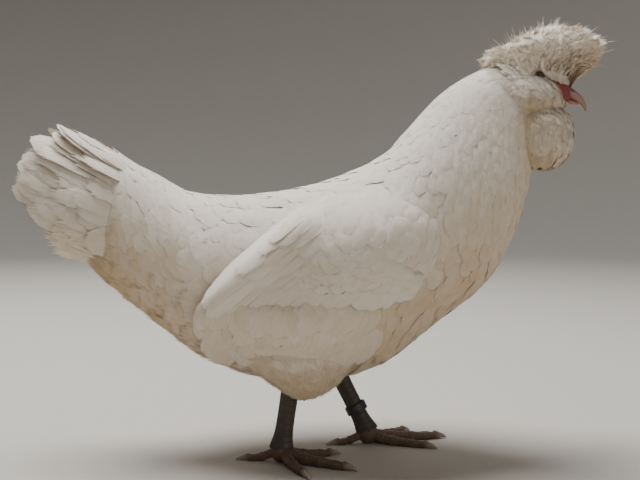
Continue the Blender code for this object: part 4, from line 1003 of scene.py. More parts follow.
def clear_of_eyes(places, gap=0.0044):
    """Which feathers leave both eyes open, seen along each eye's axis."""
    kept = np.ones(len(places), bool)
    for side in SIDES:
        centre, *_, outwards = eye_frame(side)
        ray = places - centre
        out = ray @ outwards
        aside = np.linalg.norm(ray - out[..., None] * outwards, axis=-1)
        kept &= ~((aside < gap) & (out > -0.004)).any(axis=1)
    return kept


def make_body_coat(name, count, material, draw):
    """Feathers between two rungs of the body, laid from the head towards the tail."""
    low, high, form, stray, lift, tuck = BODY_COATS[name]
    number = rung_number(np.arange(BODY.rings))
    weight = coat_weight() * ((number >= low) & (number < high))[:, None]
    u, v = BODY.scatter(count, weight, draw)
    length = coat_value(COAT_LENGTH, u) * draw.uniform(0.82, 1.15, count)
    half = coat_value(COAT_HALF, u) * draw.uniform(0.80, 1.15, count)
    skew = draw.normal(0, 0.16, count)
    root_u = u + length * 0.5 / BODY.read(BODY.ring_size, u, v)
    lift = lift * draw.uniform(0.2, 1.4, count)
    places = draped(BODY, root_u, v, length, half, skew, form, draw, stray, -1.0,
                    coat_value(COAT_DEPTH, u), lift, 0.05, swell, tuck)
    warmth = warmth_with_painted_shade_at(BODY, u, v) + draw.uniform(-0.10, 0.12, count)
    kept = clear_of_eyes(places)
    return feather_piece(name, places[kept], form, BODY.unwrap(u, v)[kept], warmth[kept], material)


def make_face_fluff(count, material, draw):
    """Soft feathers round the bare strip: back and up above it, back and down below it."""
    number = rung_number(np.arange(BODY.rings))[:, None]
    turn = np.arange(BODY.columns) * TAU / BODY.columns
    crown = (np.cos(turn) > 0.85) & (number < 17.2)
    weight = (coat_weight() > 0) * (number > 14.8) * (np.abs(np.sin(turn)) > 0.25) * ~crown
    weight = weight * (1 + 2.5 * smooth_step((number - 16.2) / 1.4))
    u, v = BODY.scatter(count, weight, draw)
    up, side = np.cos(v) - 0.08, np.sign(np.sin(v))
    lean = np.where(up > 0, -side, side) * (0.75 + 0.25 * np.clip(np.abs(up), 0, 1))
    ahead = np.clip((rung_number(u) - 16.4) / 1.4, 0, 1)
    lean = lean * (1 + 0.35 * ahead)
    roots = BODY.read(BODY.points, u, v)
    brow = np.exp(-(((roots[:, 2] - 0.3150) / 0.0050) ** 2)) * (roots[:, 0] < 0.209)
    length = (0.0105 - 0.0030 * ahead) * draw.uniform(0.75, 1.2, count) * (1 + 0.35 * brow)
    half = (0.0027 - 0.0008 * ahead) * draw.uniform(0.8, 1.2, count)
    skew = lean + draw.normal(0, 0.2, count)
    lift = draw.uniform(0.0002, 0.0015, count) + 0.0036 * brow
    places = draped(BODY, u, v, length, half, skew, SILK, draw, FLUFF_STRAY, -1.0, 0.0010, lift)
    warmth = 0.04 + draw.normal(0, 0.07, count)
    kept = clear_of_eyes(places, 0.0046) & (bare_depth(places.mean(axis=1)) < 0.0003)
    return feather_piece("face_fluff", places[kept], SILK, BODY.unwrap(u, v)[kept], warmth[kept],
                         material)


def make_down(name, surface, count, weight, length, half, material, draw, heading=-1.0,
              lift=0.0018):
    """Loose tufts of down over part of a surface."""
    u, v = surface.scatter(count, weight, draw)
    length = length * draw.uniform(0.7, 1.25, count)
    half = half * draw.uniform(0.7, 1.2, count)
    skew = draw.normal(0, 0.15, count)
    lift = lift * draw.uniform(0.0, 1.6, count)
    places = draped(surface, u, v, length, half, skew, DOWN, draw, DOWN_STRAY, heading, 0.003, lift)
    warmth = warmth_with_painted_shade_at(surface, u, v) + draw.normal(0, 0.08, count)
    return feather_piece(name, places, DOWN, surface.unwrap(u, v), warmth, material)


def make_thigh(side, down_count, material, draw):
    """Down round the thigh, and broad feathers over it."""
    thigh = thigh_surface(side, 0.0, FLUFF_RUNGS)
    covered = (thigh.points[..., 2] < 0.124) * (np.arange(thigh.rings) > 2)[:, None]
    make_down("down_thigh_" + SIDES[side], thigh, down_count, covered, 0.019, 0.0070, material,
              draw, 1.0, 0.0010)
    count = THIGH_FEATHERS
    u, v = thigh.scatter(count, covered, draw)
    length = 0.020 * draw.uniform(0.8, 1.2, count)
    half = 0.0075 * draw.uniform(0.8, 1.2, count)
    skew = draw.normal(0, 0.15, count)
    places = draped(thigh, u, v, length, half, skew, CONTOUR, draw, THIGH_STRAY, 1.0, 0.004,
                    0.0002, 0.08)
    warmth = warmth_with_painted_shade_at(thigh, u, v) + draw.normal(0, 0.08, count)
    return feather_piece("thigh_coat_" + SIDES[side], places, CONTOUR, thigh.unwrap(u, v), warmth,
                         material)


def side_feathers(root, tip, side, half, out, form, draw, stray, roll=0.0, sag=0.0, shaft=0.0,
                  tilt=0.0, hem=0.0):
    """Feathers along the body's side, each point placed by its (x, z) and raised off the body.

    Where the hem is 1 the upper edge closes on the body: its height is scaled by 1 - w^2.
    """
    t, w, stand = strand_places(form, len(root), draw, stray)
    w = w * side
    length = np.linalg.norm(tip - root, axis=1, keepdims=True)
    ahead = (tip - root) / length
    lower = np.stack((-ahead[:, 1], ahead[:, 0]), axis=-1)
    half = half[:, None]
    drop = w * half + sag * t**2 * length
    x, z = [root[:, axis, None] + ahead[:, axis, None] * t * length + lower[:, axis, None] * drop
            for axis in (0, 1)]
    u, v = side_place(x, z, side)
    height = ridge(x, z) + out[:, None] * np.clip(t / 0.35, 0, 1) ** 0.5 + roll * w * half
    height = height - 0.10 * half * w**2 + stand + tilt * (t - 0.75) + shaft * shaft_rib(t, w)
    height = height - 0.0012 * np.clip((t - 0.6) / 0.4, 0, 1) ** 2
    closed = np.reshape(hem, (-1, 1)) * np.clip(-w, 0, 1) ** 2
    height = 0.0006 + swell(x, z) + height * (1 - closed) - 0.0026 * closed
    root_u, root_v = side_place(root[:, 0], root[:, 1], side)
    return BODY.place(u, v, height), BODY.unwrap(root_u % BODY.rings, root_v)


def wing_lines(step):
    """The root and the tip (x, z) of a flight feather, from the longest, 0, to the first, 1."""
    roots, tips = smooth_rows(WING_ROOTS, 10), smooth_rows(WING_TIPS, 10)
    row = step * (len(roots) - 1)
    return read_rows(roots, row), read_rows(tips, row)


def make_wing(side, materials, settings, draw):
    """Flight feathers and three tiers of coverts."""
    for number, (reach, width, out, form, shaft, tilt) in enumerate(WING_TIERS):
        count = WING_COVERTS if number else settings.flight_count
        step = np.linspace(0, 1, count)
        root, tip = wing_lines(step)
        tip = root + (tip - root) * reach * draw.uniform(0.96, 1.03, (count, 1))
        tip = tip + draw.normal(0, 0.0012, tip.shape)
        half = width * draw.uniform(0.92, 1.06, count)
        out = out + 0.0022 * np.clip(1 - step / 0.3, 0, 1)
        hem = np.clip(1 - step * (count - 1) * 0.55, 0, 1)
        places, flat = side_feathers(root, tip, side, half, out, form, draw, FLIGHT_STRAY, 0.13,
                                     0.06, shaft, tilt, hem)
        warmth = 0.08 + draw.uniform(-0.12, 0.12, count)
        feather_piece(f"wing_tier_{number}_{SIDES[side]}", places, form, flat,
                                    warmth, materials["coat" if number else "flight"])
    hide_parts("wing_" + SIDES[side])


def make_shoulder(side, count, material, draw):
    """Small feathers over the swell of the wing, longer towards the rear."""
    reach, turn = spiral(count)
    middle_x, middle_z, half_x, half_z, slope, _ = WING_SWELL
    x = middle_x + 0.004 + half_x * 0.74 * reach * np.cos(turn)
    z = middle_z + 0.006 + half_z * 0.72 * reach * np.sin(turn)
    z = z + slope * half_x * reach * np.cos(turn)
    root = np.stack((x, z), axis=-1)
    step = np.clip((x + 0.02) / 0.10, 0, 1)
    rear = 1 - step
    first, last = wing_lines(step)
    ahead = unit(last - first) + np.array((-0.35, 0.15)) * rear[:, None]
    length = (0.022 + 0.006 * rear) * draw.uniform(0.85, 1.15, count)
    tip = root + unit(ahead + draw.normal(0, 0.10, (count, 2))) * length[:, None]
    half = (0.0080 + 0.0016 * rear) * draw.uniform(0.85, 1.15, count)
    out = 0.0012 + 0.0070 * np.clip(1 - reach**2, 0, 1) + draw.uniform(0, 0.0005, count)
    places, flat = side_feathers(root, tip, side, half, out, CONTOUR, draw, SHOULDER_STRAY,
                                 0.04, 0.03, tilt=0.0036)
    warmth = 0.08 + draw.uniform(-0.12, 0.12, count)
    return feather_piece("shoulder_" + SIDES[side], places, CONTOUR, flat, warmth, material)


def make_flank(side, material, draw):
    """Rows of broad feathers that hang from the flank over the top of the thigh."""
    count = FLANK_ROWS * FLANK_IN_ROW
    row, place = np.divmod(np.arange(count), FLANK_IN_ROW)
    step = (place + 0.5 * (row % 2)) / (FLANK_IN_ROW - 0.5)
    x, z = -0.072 + 0.120 * step + THIGH_SHIFT[side][0], 0.1085 + 0.0085 * row
    root = np.stack((x, z), axis=-1)
    ahead = unit(np.array((-0.50, -0.86)) + draw.normal(0, 0.08, (count, 2)))
    tip = root + ahead * 0.026 * draw.uniform(0.85, 1.15, (count, 1))
    out = (0.0052 + 0.0006 * row) * (1 - 0.75 * (2 * step - 1) ** 2)
    out = out + draw.uniform(0, 0.0005, count)
    half = 0.0105 * draw.uniform(0.9, 1.15, count)
    places, flat = side_feathers(root, tip, side, half, out, CONTOUR, draw, FLANK_STRAY,
                                 tilt=0.0015)
    # Painted shade: the flank feathers under the wing, facing sideways, carry a fixed cream tint.
    warmth = 0.34 + draw.uniform(-0.12, 0.12, count)
    return feather_piece("flank_" + SIDES[side], places, CONTOUR, flat, warmth, material)


def between(low, middle, high, share):
    """A quadratic blend of three rows of numbers, met at shares 0, one half and 1."""
    low, middle, high = np.array(low), np.array(middle), np.array(high)
    bend = 2 * (low + high - 2 * middle)
    share = share[:, None]
    return low + (high - low - bend) * share + bend * share**2


def fan_feathers(rows, side, share, reach, lift, half, form, draw, loose, shaft):
    """Feathers on one side of the tail's fan, lifted off those that they cover."""
    count = len(share)
    root_x, root_z, tip_x, tip_z, inner, outer, lean = between(*rows, share).T
    normal = np.stack((np.zeros(count), side * np.cos(lean), np.sin(lean)), axis=-1)
    root = np.stack((root_x, side * inner, root_z), axis=-1)
    tip = np.stack((tip_x, side * outer, tip_z), axis=-1)
    tip = root + (tip - root) * reach[:, None] + draw.normal(0, 0.0016 * loose, (count, 3))
    shift = normal * lift[:, None]
    bow = normal * FAN_BOW * 2 * (1 + draw.normal(0, 0.5, (count, 1)) * loose)
    bend = (root + tip) / 2 + bow
    downward = np.cross(unit(tip - root), normal) * side
    broad = normal * math.cos(FAN_ROLL) - downward * math.sin(FAN_ROLL)
    cup = (0.15 + 0.22 * np.exp(-((share / 0.12) ** 2)))[:, None, None]
    stray = (0.03 * loose, 0.03 * loose, 0.0003 * loose)
    places = curved(root + shift, bend + shift, tip + shift, broad, half, form, draw, stray, cup)
    rib = shaft_rib(form["t"], form["w"]) * shaft
    return places + normal[:, None] * rib[None, :, None], root


def make_tail(materials, settings, draw):
    """The tail's fan of stiff feathers, its coverts in tiers, and the soft fan under it."""
    for name, (reach, width, lift, inset, loose, shaft) in TAIL_TIERS.items():
        stiff, under = name == "tail_fan", name.startswith("under")
        count = settings.tail_pairs if stiff else UNDER_FEATHERS if under else TAIL_COVERTS
        rows = (UNDER_TOP, UNDER_MIDDLE, UNDER_LOW) if under else (TAIL_TOP, TAIL_MIDDLE, TAIL_LOW)
        form = FLIGHT if stiff else PLUME
        parts = []
        for side in SIDES:
            stir = draw.uniform(-0.3, 0.3, count) / count * min(loose, 1.5)
            share = np.clip(np.linspace(inset, 1 - inset, count) + stir, 0, 1)
            half = width * draw.uniform(0.88, 1.1, count)
            reaches = reach * draw.uniform(0.95, 1.03, count)
            lifts = lift + draw.uniform(0, 0.0005, count)
            parts.append(fan_feathers(rows, side, share, reaches, lifts, half, form, draw, loose,
                                      shaft))
        places, roots = [np.concatenate(group) for group in zip(*parts)]
        # Painted shade and painted warm bounce light: the soft feathers under the tail get more
        # cream.
        warmth = 0.10 + draw.normal(0, 0.07, len(places)) + (0.25 if under else 0.0)
        feather_piece(name, places, form, unwrap_near(roots), warmth,
                                    materials["flight" if stiff else "coat"])
    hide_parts("tail")


def make_crest(material, settings, draw):
    """Plumes from the crown that rise, part and fall outwards, a cover over them, and wisps.

    A plume at share r and angle a of the crown's oval ends on the crest's outline at the same
    angle, at the height that the share gives. Those in front stand up from the brow first.
    """
    count, wisps = settings.crest_count, settings.crest_wisps
    share, angle = spiral(count)
    cosine, sine = np.cos(angle), np.sin(angle)
    lines = smooth_rows(CREST_RUNGS, 8)
    lowest = 2.5 + 6.0 * np.clip(cosine, -0.3, 1)
    row = lowest + (1 - share**1.6) * (len(lines) - 1 - lowest)
    front_x, front_z, rear_x, rear_z, half_y = read_rows(lines, row).T
    tip = np.stack(((front_x + rear_x) / 2 + (front_x - rear_x) / 2 * cosine, half_y * sine,
                    (front_z + rear_z) / 2 + (front_z - rear_z) / 2 * cosine), axis=-1)
    rung, half_rungs, half_turn = CREST_CROWN
    ring = (rung + half_rungs * share * cosine) * BODY_STEPS + DOME_ROWS
    turn = half_turn * share * sine
    root = BODY.place(ring, turn, np.full(count, -0.001))
    tip = root + (tip - root) * draw.uniform(0.86, 1.03, (count, 1))
    tip = tip + draw.normal(0, 0.0013, (count, 3))
    gap = np.linalg.norm(tip - root, axis=1, keepdims=True)
    ahead = np.clip(cosine, 0, 1)[:, None]
    rise = np.array((0.0, 0.0, 1.0)) * gap * (0.20 + 0.24 * ahead)
    flank = (share**2 * sine)[:, None] * np.array((0.0, 1.0, 0.0)) * gap * 0.30
    bend = root * 0.5 + tip * 0.5 + rise + flank - (tip - root) * 0.16 * ahead
    broad = unit(unit(tip - np.array(CREST_HEART)) + draw.normal(0, 0.14, (count, 3)))
    half = (0.0029 + 0.105 * gap[:, 0]) * draw.uniform(0.8, 1.2, count)
    places = curved(root, bend, tip, broad, half, SILK, draw, CREST_STRAY, 0.12)
    # Painted shade: warmer cream under the crest's front overhang.
    low = np.exp(-((tip[:, 2] - 0.326) / 0.010) ** 2) * np.clip(cosine, 0, 1)
    warmth = 0.02 + 0.50 * low + draw.normal(0, 0.05, count)
    flat = BODY.unwrap(ring, turn)
    feather_piece("crest_plumes", places, SILK, flat, warmth, material, "crest")
    make_crest_cover(count, material, draw)
    pick = draw.integers(0, count, wisps)
    tip = root[pick] + (tip[pick] - root[pick]) * draw.uniform(0.75, 1.10, (wisps, 1))
    tip = tip + draw.normal(0, 0.0030, (wisps, 3))
    broad = unit(broad[pick] + draw.normal(0, 0.6, (wisps, 3)))
    places = curved(root[pick], bend[pick], tip, broad, half[pick] * 1.3, WISP, draw, WISP_STRAY,
                    0.1)
    feather_piece("crest_wisps", places, WISP, flat[pick], warmth[pick], material)


def make_crest_cover(count, material, draw):
    """Short plumes laid up the crest's outline, so that it closes into one soft mass."""
    shell = Surface(crest_rings(CREST_SHELL))
    ring = np.arange(shell.rings)[:, None]
    weight = ((ring > 1) & (ring < shell.rings - 4)) * np.ones(shell.columns)
    u, v = shell.scatter(count, weight, draw)
    length = 0.0140 * draw.uniform(0.75, 1.2, count)
    half = 0.0044 * draw.uniform(0.8, 1.2, count)
    skew = draw.normal(0, 0.20, count)
    lift = draw.uniform(0.0002, 0.0020, count)
    places = draped(shell, u, v, length, half, skew, SILK, draw, FLUFF_STRAY, 1.0, 0.002, lift)
    roots = shell.read(shell.points, u, v)
    # Painted shade: warmer cream under the crest's front overhang.
    low = np.exp(-((roots[:, 2] - 0.326) / 0.009) ** 2) * smooth_step((roots[:, 0] - 0.205) / 0.02)
    warmth = 0.02 + 0.50 * low + draw.normal(0, 0.05, count)
    return feather_piece("crest_cover", places, SILK, unwrap_near(roots), warmth, material)


def make_tuft(name, kind, side, node, material, draw):
    """A round tuft of soft feathers laid from its root pole to its tip pole, with loose wisps."""
    egg, least, plumes, wisps, plume_length = TUFTS[kind]
    surface = tuft_surface(egg, side)
    polar = np.linspace(0, math.pi, surface.rings)[:, None]
    weight = (polar < 2.65) & (side * surface.points[..., 1] > least)
    for suffix, form, count, longer, wider, lift in (
            ("_plumes", SILK, plumes, 1.0, 1.0, 0.0011),
            ("_wisps", WISP, wisps, 1.15, 1.3, 0.0014)):
        u, v = surface.scatter(count, weight, draw)
        length = plume_length * longer * draw.uniform(0.75, 1.2, count)
        half = TUFT_HALF * draw.uniform(0.8, 1.2, count) * wider
        root_u = u - length * 0.4 / surface.read(surface.ring_size, u, v)
        skew = draw.normal(0, 0.16, count)
        lift = lift * draw.uniform(0.0, 1.0, count) ** 2 * 2.8
        places = draped(surface, root_u, v, length, half, skew, form, draw, TUFT_STRAY, 1.0,
                        0.0022, lift)
        warmth = 0.05 + warmth_with_painted_shade_at(surface, u, v) + draw.normal(0, 0.10, count)
        flat = unwrap_near(surface.read(surface.points, u, v))
        feather_piece(name + suffix, places, form, flat, warmth, material)
    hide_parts(node)


def tube_rings(path, side_reach, high_reach, sides, upward):
    """Rings round a path, each square to it, flattened between its side and its upward reach."""
    ahead = unit(np.gradient(path, axis=0))
    across = unit(np.cross(upward, ahead))
    high = np.cross(ahead, across)
    angles = np.linspace(0, TAU, sides, endpoint=False)
    wide = across[:, None, :] * (np.cos(angles)[None, :] * side_reach)[..., None]
    tall = high[:, None, :] * (np.sin(angles)[None, :] * high_reach)[..., None]
    return path[:, None, :] + wide + tall


def make_eye(side, material):
    """A ball whose cornea stands out: R (1 + 0.04 exp(-(angle / 0.5)^2)) by the axis' angle."""
    centre, forwards, upwards, outwards = eye_frame(side)
    polar = np.linspace(0.01, math.pi - 0.01, 40)[:, None, None]
    radius = EYE_RADIUS * (1 + 0.04 * np.exp(-((polar / 0.5) ** 2)))
    rings = centre + radius * ball_rings(-outwards, forwards, upwards, 0.01, 40, 64)
    share = np.broadcast_to(polar[..., 0] / math.pi, (40, 64))
    piece = ring_mesh("eyeball_" + SIDES[side], rings, material, {"turn": share})
    return settle(piece, "eye", "eye_" + SIDES[side])


def make_lids(side, settings, material):
    """Folded skin round the eye: over the ball from a slit's edge outwards, then back under itself.

    The angle from the eye's axis goes from the slit's edge to the outer edge; the height over the
    ball is a bulge at the edge plus two folds that run round it.
    """
    centre, forwards, upwards, outwards = eye_frame(side)
    share = np.concatenate((np.linspace(0, 1, 16), np.linspace(1, 0, 6)))[:, None]
    under = np.concatenate((np.zeros(16), np.ones(6)))[:, None]
    turn = (np.arange(72) * TAU / 72)[None, :]
    open_wide = settings.slit_width / 2 / EYE_RADIUS
    open_tall = settings.slit_height / 2 / EYE_RADIUS
    inner = 1 / np.sqrt((np.cos(turn) / open_wide) ** 2 + (np.sin(turn) / open_tall) ** 2)
    inner = inner * (1 - 0.12 * np.cos(turn * 2))
    outer = 0.92 + 0.04 * np.cos(turn * 3 + 0.4)
    polar = inner + (outer - inner) * share
    folds = 0.00022 * np.sin(share * 15 + 0.7 * np.cos(turn)) * share * (1 - share) * 3
    crinkle = 0.00006 * np.sin(turn * 31 + share * 9) * share
    bulge = np.sin(math.pi * np.clip(share * 0.9 + 0.1, 0, 1)) ** 0.7
    over = 0.00015 + 0.00040 * bulge + folds + crinkle
    sunk = 0.0014 * smooth_step((share - 0.75) / 0.25)
    height = np.where(under > 0, -0.00045 - 0.0010 * share, over - sunk)
    polar, turn = polar[..., None], turn[..., None]
    aside = forwards * np.cos(turn) + upwards * np.sin(turn)
    ray = outwards * np.cos(polar) + aside * np.sin(polar)
    rings = centre + ray * (EYE_RADIUS * 1.02 + height)[..., None]
    return settle(loop_mesh("lids_" + SIDES[side], rings, material), "comb")


def make_bill(node, rungs, poles, material, upper):
    """A bill half; the upper one has a slit of a nostril under a raised lip."""
    rings = rung_surface(rungs, poles, 10, 64, 2.25)
    edge, slimmer = (rings[..., 2].min, 0.86) if upper else (rings[..., 2].max, 0.80)
    mouth = edge(axis=1, keepdims=True)
    rings[..., 2] = mouth + (rings[..., 2] - mouth) * slimmer
    surface = Surface(rings)
    x, y, z = np.moveaxis(rings, -1, 0)
    dark = np.zeros(x.shape)
    height = 0.00006 * np.sin(x * 5200) * smooth_step((0.222 - x) / 0.01)
    if upper:
        away = ((x - NOSTRIL[0]) * 0.9 - (z - NOSTRIL[1]) * 0.44) / 0.0020
        aside = ((x - NOSTRIL[0]) * 0.44 + (z - NOSTRIL[1]) * 0.9) / 0.00055
        flank = np.abs(y) > 0.002
        slit = np.exp(-(away**2) - aside**2) * flank
        lip = np.exp(-(away**2) - (aside - 2.0) ** 2 / 2) * flank
        height = height - 0.0007 * slit + 0.00035 * lip
        # Painted shade in the nostril's slit.
        dark = np.clip(slit * 1.6, 0, 1)
    along = smooth_step((x - 0.2085) / 0.0095)
    piece = ring_mesh(node + "_horn", rings + surface.normals * height[..., None], material,
                      {"along": along, "dark": dark})
    return settle(piece, "bill", node)


def make_comb(material):
    """Two small fleshy horns on a low base, joined into one surface."""
    ball = ball_rings(*UPRIGHT, 0.03, 20, 40)
    waves = [np.sin(ball[..., axis:axis + 1] * often + start)
             for axis, often, start in ((0, 7, 1), (1, 9, 0), (2, 8, 0))]
    lumps = 1 + 0.07 * waves[0] * waves[1] * waves[2]
    middle = np.array((COMB_X, 0.0, COMB_Z - 0.00275))
    whole = ring_mesh("comb_flesh", middle + ball * lumps * (0.0047, 0.0058, 0.0034), material)
    horns = []
    for side in SIDES:
        t = np.linspace(0, 1, 14)
        lean = unit(np.array((math.sin(0.9) * 0.8, side * 0.36, math.cos(0.9) + 0.3)))
        start = np.array((COMB_X, side * HORN_APART, COMB_Z)) - lean * 0.0045
        path = start + lean * (0.0100 * t)[:, None]
        path[:, 2] += 0.0006 * t**2
        radius = 0.0025 * (1 - t**2.4) ** 0.5 * (1 + 0.10 * np.sin(t * 9)) + 0.0002
        rings = tube_rings(path, radius[:, None], radius[:, None], 24, (0.0, 1.0, 0.0))
        horns.append(ring_mesh("comb_horn", rings, material))
    join_pieces(whole, horns)
    return settle(whole, "comb", "comb")


def leg_line(side):
    ankle, hock = np.array(ANKLES[side]), np.array(HOCKS[side])
    return ankle, unit(hock - ankle)


def plate_lift(place, plates, shares):
    """How far a row of overlapping plates stands up at each share of it, and its creases."""
    phase = (shares * plates + place) % 1.0
    rise = smooth_step(phase / 0.16) * (1 - 0.55 * phase)
    return rise, np.clip(1 - phase / 0.12, 0, 1) + np.clip((phase - 0.93) / 0.07, 0, 1)


def make_shank(side, settings, material):
    """A tube up the leg, flared at both ends: broad plates in front, small scales behind."""
    ankle, ahead = leg_line(side)
    shares = np.linspace(0, 1, 240)[:, None]
    angles = np.linspace(0, TAU, SHANK_COLUMNS, endpoint=False)[None, :]
    front, across = np.sin(angles), np.cos(angles)
    waist = 1.0 + 0.16 * (2 * shares - 1) ** 2 + 0.28 * np.exp(-((shares / 0.13) ** 2))
    bow = 0.10 * across**2
    rise, crease = plate_lift(0.5 * (across > 0) + bow, settings.shank_plates, shares)
    rear_rise, rear_crease = plate_lift(bow * 2, settings.shank_plates * 1.7, shares)
    plated = smooth_step((front + 0.05) / 0.25)
    seam = 1 - np.exp(-((across / 0.10) ** 2)) * (front > 0)
    back = np.exp(-((front + 1) / 0.10) ** 2) * 0.0008
    lift = 0.00060 * rise * plated * seam + 0.00025 * rear_rise * (1 - plated) + back
    forward = np.cross(np.cross(ahead, (1.0, 0.0, 0.0)), ahead)
    rings = tube_rings(ankle + ahead * SHANK_LENGTH * shares, SHANK_SIDE * waist + lift,
                       SHANK_DEEP * waist + lift, SHANK_COLUMNS, forward)
    creases = (crease + (1 - seam) * 0.8) * plated + rear_crease * (1 - plated) * 0.6
    values = {"crease": np.clip(creases, 0, 1),
              "small": np.broadcast_to(1 - plated, rings.shape[:2])}
    piece = ring_mesh("shank_scutes_" + SIDES[side], rings, material, values)
    return settle(piece, "leg_skin", "shank_" + SIDES[side])


def toe_path(side, name):
    """A toe's middle line: down from the ankle's ball, a low arch, then flat on the floor."""
    ankle, _ = leg_line(side)
    tip_x, tip_out = TOE_TIPS[side][name]
    base_radius, tip_radius = TOE_FORMS[name][:2]
    t = np.linspace(0, 1, TOE_RINGS)
    reach = np.array((tip_x, side * tip_out))
    length = np.linalg.norm(reach)
    ahead = reach / length
    flat = ankle[:2] + ahead * (t * length)[:, None]
    radius = base_radius + (tip_radius - base_radius) * t
    floor_line = radius - FLAT_DEPTH
    rise = TOE_ARCH * np.sin(math.pi * t) ** 2 * (1 - t)
    drop = (BALL_HEIGHT - floor_line[0]) * np.exp(-((t * length / TOE_DROP) ** 2))
    return np.column_stack((flat, floor_line + rise + drop)), radius, ahead


def make_foot(side, material):
    """The ankle's ball and four toes with plates on top, knuckles between and pads below."""
    ankle, _ = leg_line(side)
    size = BALL_RADIUS * np.array((1.0, 0.93, 0.94))
    rings = np.array((*ankle[:2], BALL_HEIGHT)) + ball_rings(*UPRIGHT, 0.03, 48, 64) * size
    rings[..., 2] = np.maximum(rings[..., 2], 0.0)
    values = {"crease": np.zeros(rings.shape[:2]), "small": np.ones(rings.shape[:2])}
    foot = ring_mesh("foot_scutes_" + SIDES[side], rings, material, values, (0.02, 0.2, 0.02, 0.2))
    toes = []
    shares = np.linspace(0, 1, TOE_RINGS)[:, None]
    angles = np.linspace(0, TAU, TOE_COLUMNS, endpoint=False)[None, :]
    top = np.sin(angles)
    plated, pads = smooth_step((top - 0.10) / 0.3), smooth_step((-top - 0.2) / 0.4)
    for number, (name, (_, _, plates, joints)) in enumerate(TOE_FORMS.items()):
        path, radius, _ = toe_path(side, name)
        knuckle, pinch = [sum(np.exp(-(((shares - joint - past) / 0.05) ** 2)) for joint in joints)
                          for past in (0.0, 0.11)]
        rise, crease = plate_lift(0.16 * np.cos(angles) ** 2, plates, shares)
        lift = 0.00045 * rise * plated + 0.0004 * knuckle - 0.0003 * pinch + 0.0004 * pads * knuckle
        radius = radius[:, None]
        tube = tube_rings(path, radius + lift, radius * 0.96 + lift, TOE_COLUMNS, UPRIGHT[0])
        tube[..., 2] = np.maximum(tube[..., 2], 0.0)
        values = {"crease": np.clip(crease * plated, 0, 1),
                  "small": np.broadcast_to(1 - plated, tube.shape[:2])}
        low = 0.24 + 0.18 * number
        toes.append(ring_mesh("toe", tube, material, values, (low, low + 0.16, 0.02, 0.98)))
    join_pieces(foot, toes)
    return settle(foot, "leg_skin", "foot_" + SIDES[side])


def make_claws(side, material):
    """Curved horns that carry each toe's line down on to the floor."""
    for name in TOE_TIPS[side]:
        path, radius, ahead = toe_path(side, name)
        end = path[-1]
        t = np.linspace(-0.12, 1, 40)
        claw = end + np.array((*ahead, 0.0)) * (0.0003 + CLAW_LENGTH * t)[:, None]
        shape = np.clip(t, 0, 1)
        radius = radius[-1] * 0.86 * (1 - shape) ** 0.8 + CLAW_TIP
        line = end[2] + 0.0006 * np.sin(math.pi * shape) - CLAW_DROP * shape**2
        claw[:, 2] = np.maximum(line, radius + 0.00005)
        rings = tube_rings(claw, radius[:, None] * 0.92, radius[:, None], 32, UPRIGHT[0])
        values = {"along": smooth_step(shape), "dark": 0.5 * smooth_step((0.25 - shape) / 0.25)}
        values = {key: np.broadcast_to(value[:, None], rings.shape[:2])
                  for key, value in values.items()}
        piece = ring_mesh(f"claw_horn_{name}_{SIDES[side]}", rings, material, values)
        settle(piece, "claw", f"claw_{name}_{SIDES[side]}")


def make_leg_ring(material):
    """A plain closed ring with rounded edges, square to the leg."""
    ankle, ahead = leg_line(LEFT)
    middle = ankle + ahead * (RING_UP + RING_HEIGHT / 2)
    across = unit(np.cross(ahead, (0.0, 1.0, 0.0)))
    third = np.cross(ahead, across)
    thick, tall, soft = (RING_OUTER - RING_INNER) / 2, RING_HEIGHT / 2, 0.0004
    round_angle = np.linspace(0, TAU, 32, endpoint=False) + TAU / 64
    pair = np.stack((np.cos(round_angle), np.sin(round_angle)), axis=-1)
    corner = np.sign(pair) * (thick - soft, tall - soft) + soft * pair
    turn = np.linspace(0, TAU, 96, endpoint=False)[:, None, None]
    out = across * np.cos(turn) + third * np.sin(turn)
    mean = (RING_OUTER + RING_INNER) / 2
    rings = middle + out * (mean + corner[None, :, :1]) + ahead * corner[None, :, 1:]
    return settle(loop_mesh("ring_band", rings, material), "leg_band", "leg_ring")


# Choices that a user would change

def colour_choice(name, description, value):
    return bpy.props.FloatVectorProperty(name=name, description=description, subtype="COLOR",
                                         size=3, min=0, max=1, default=value)


def count_choice(name, description, value, low, high):
    return bpy.props.IntProperty(name=name, description=description, default=value, min=low,
                                 max=high)


def size_choice(name, description, value, low, high, unit):
    return bpy.props.FloatProperty(name=name, description=description, default=value, min=low,
                                   max=high, unit=unit)


class HenPlumage(bpy.types.PropertyGroup):
    white: colour_choice("White", "Colour of the open feathers", (0.85, 0.765, 0.655))
    # The cream also carries painted shade: on what faces down, in creases and under the crest's
    # overhang.
    cream: colour_choice("Cream", "Warm tint of sheltered feathers", (0.60, 0.43, 0.24))
    body_count: count_choice("Body feathers", "Feathers on the trunk and rear", 1700, 300, 4000)
    neck_count: count_choice("Hackle feathers", "Feathers on the neck", 1700, 300, 3400)
    head_count: count_choice("Head feathers", "Small feathers on the head", 1900, 300, 6000)
    fluff_count: count_choice("Face fluff", "Soft feathers round the bare face", 1500, 100, 3000)
    down_count: count_choice("Down tufts", "Tufts on the belly and each thigh", 620, 100, 2000)
    crest_count: count_choice("Crest plumes", "Plumes in the crest", 1600, 100, 3000)
    crest_wisps: count_choice("Crest wisps", "Loose wisps over the crest", 500, 50, 2000)
    flight_count: count_choice("Flight feathers", "Long feathers in each wing", 15, 8, 24)
    shoulder_count: count_choice("Shoulder feathers", "Small feathers over a wing", 260, 50, 1200)
    tail_pairs: count_choice("Tail pairs", "Stiff feathers on each side of the tail", 12, 5, 16)


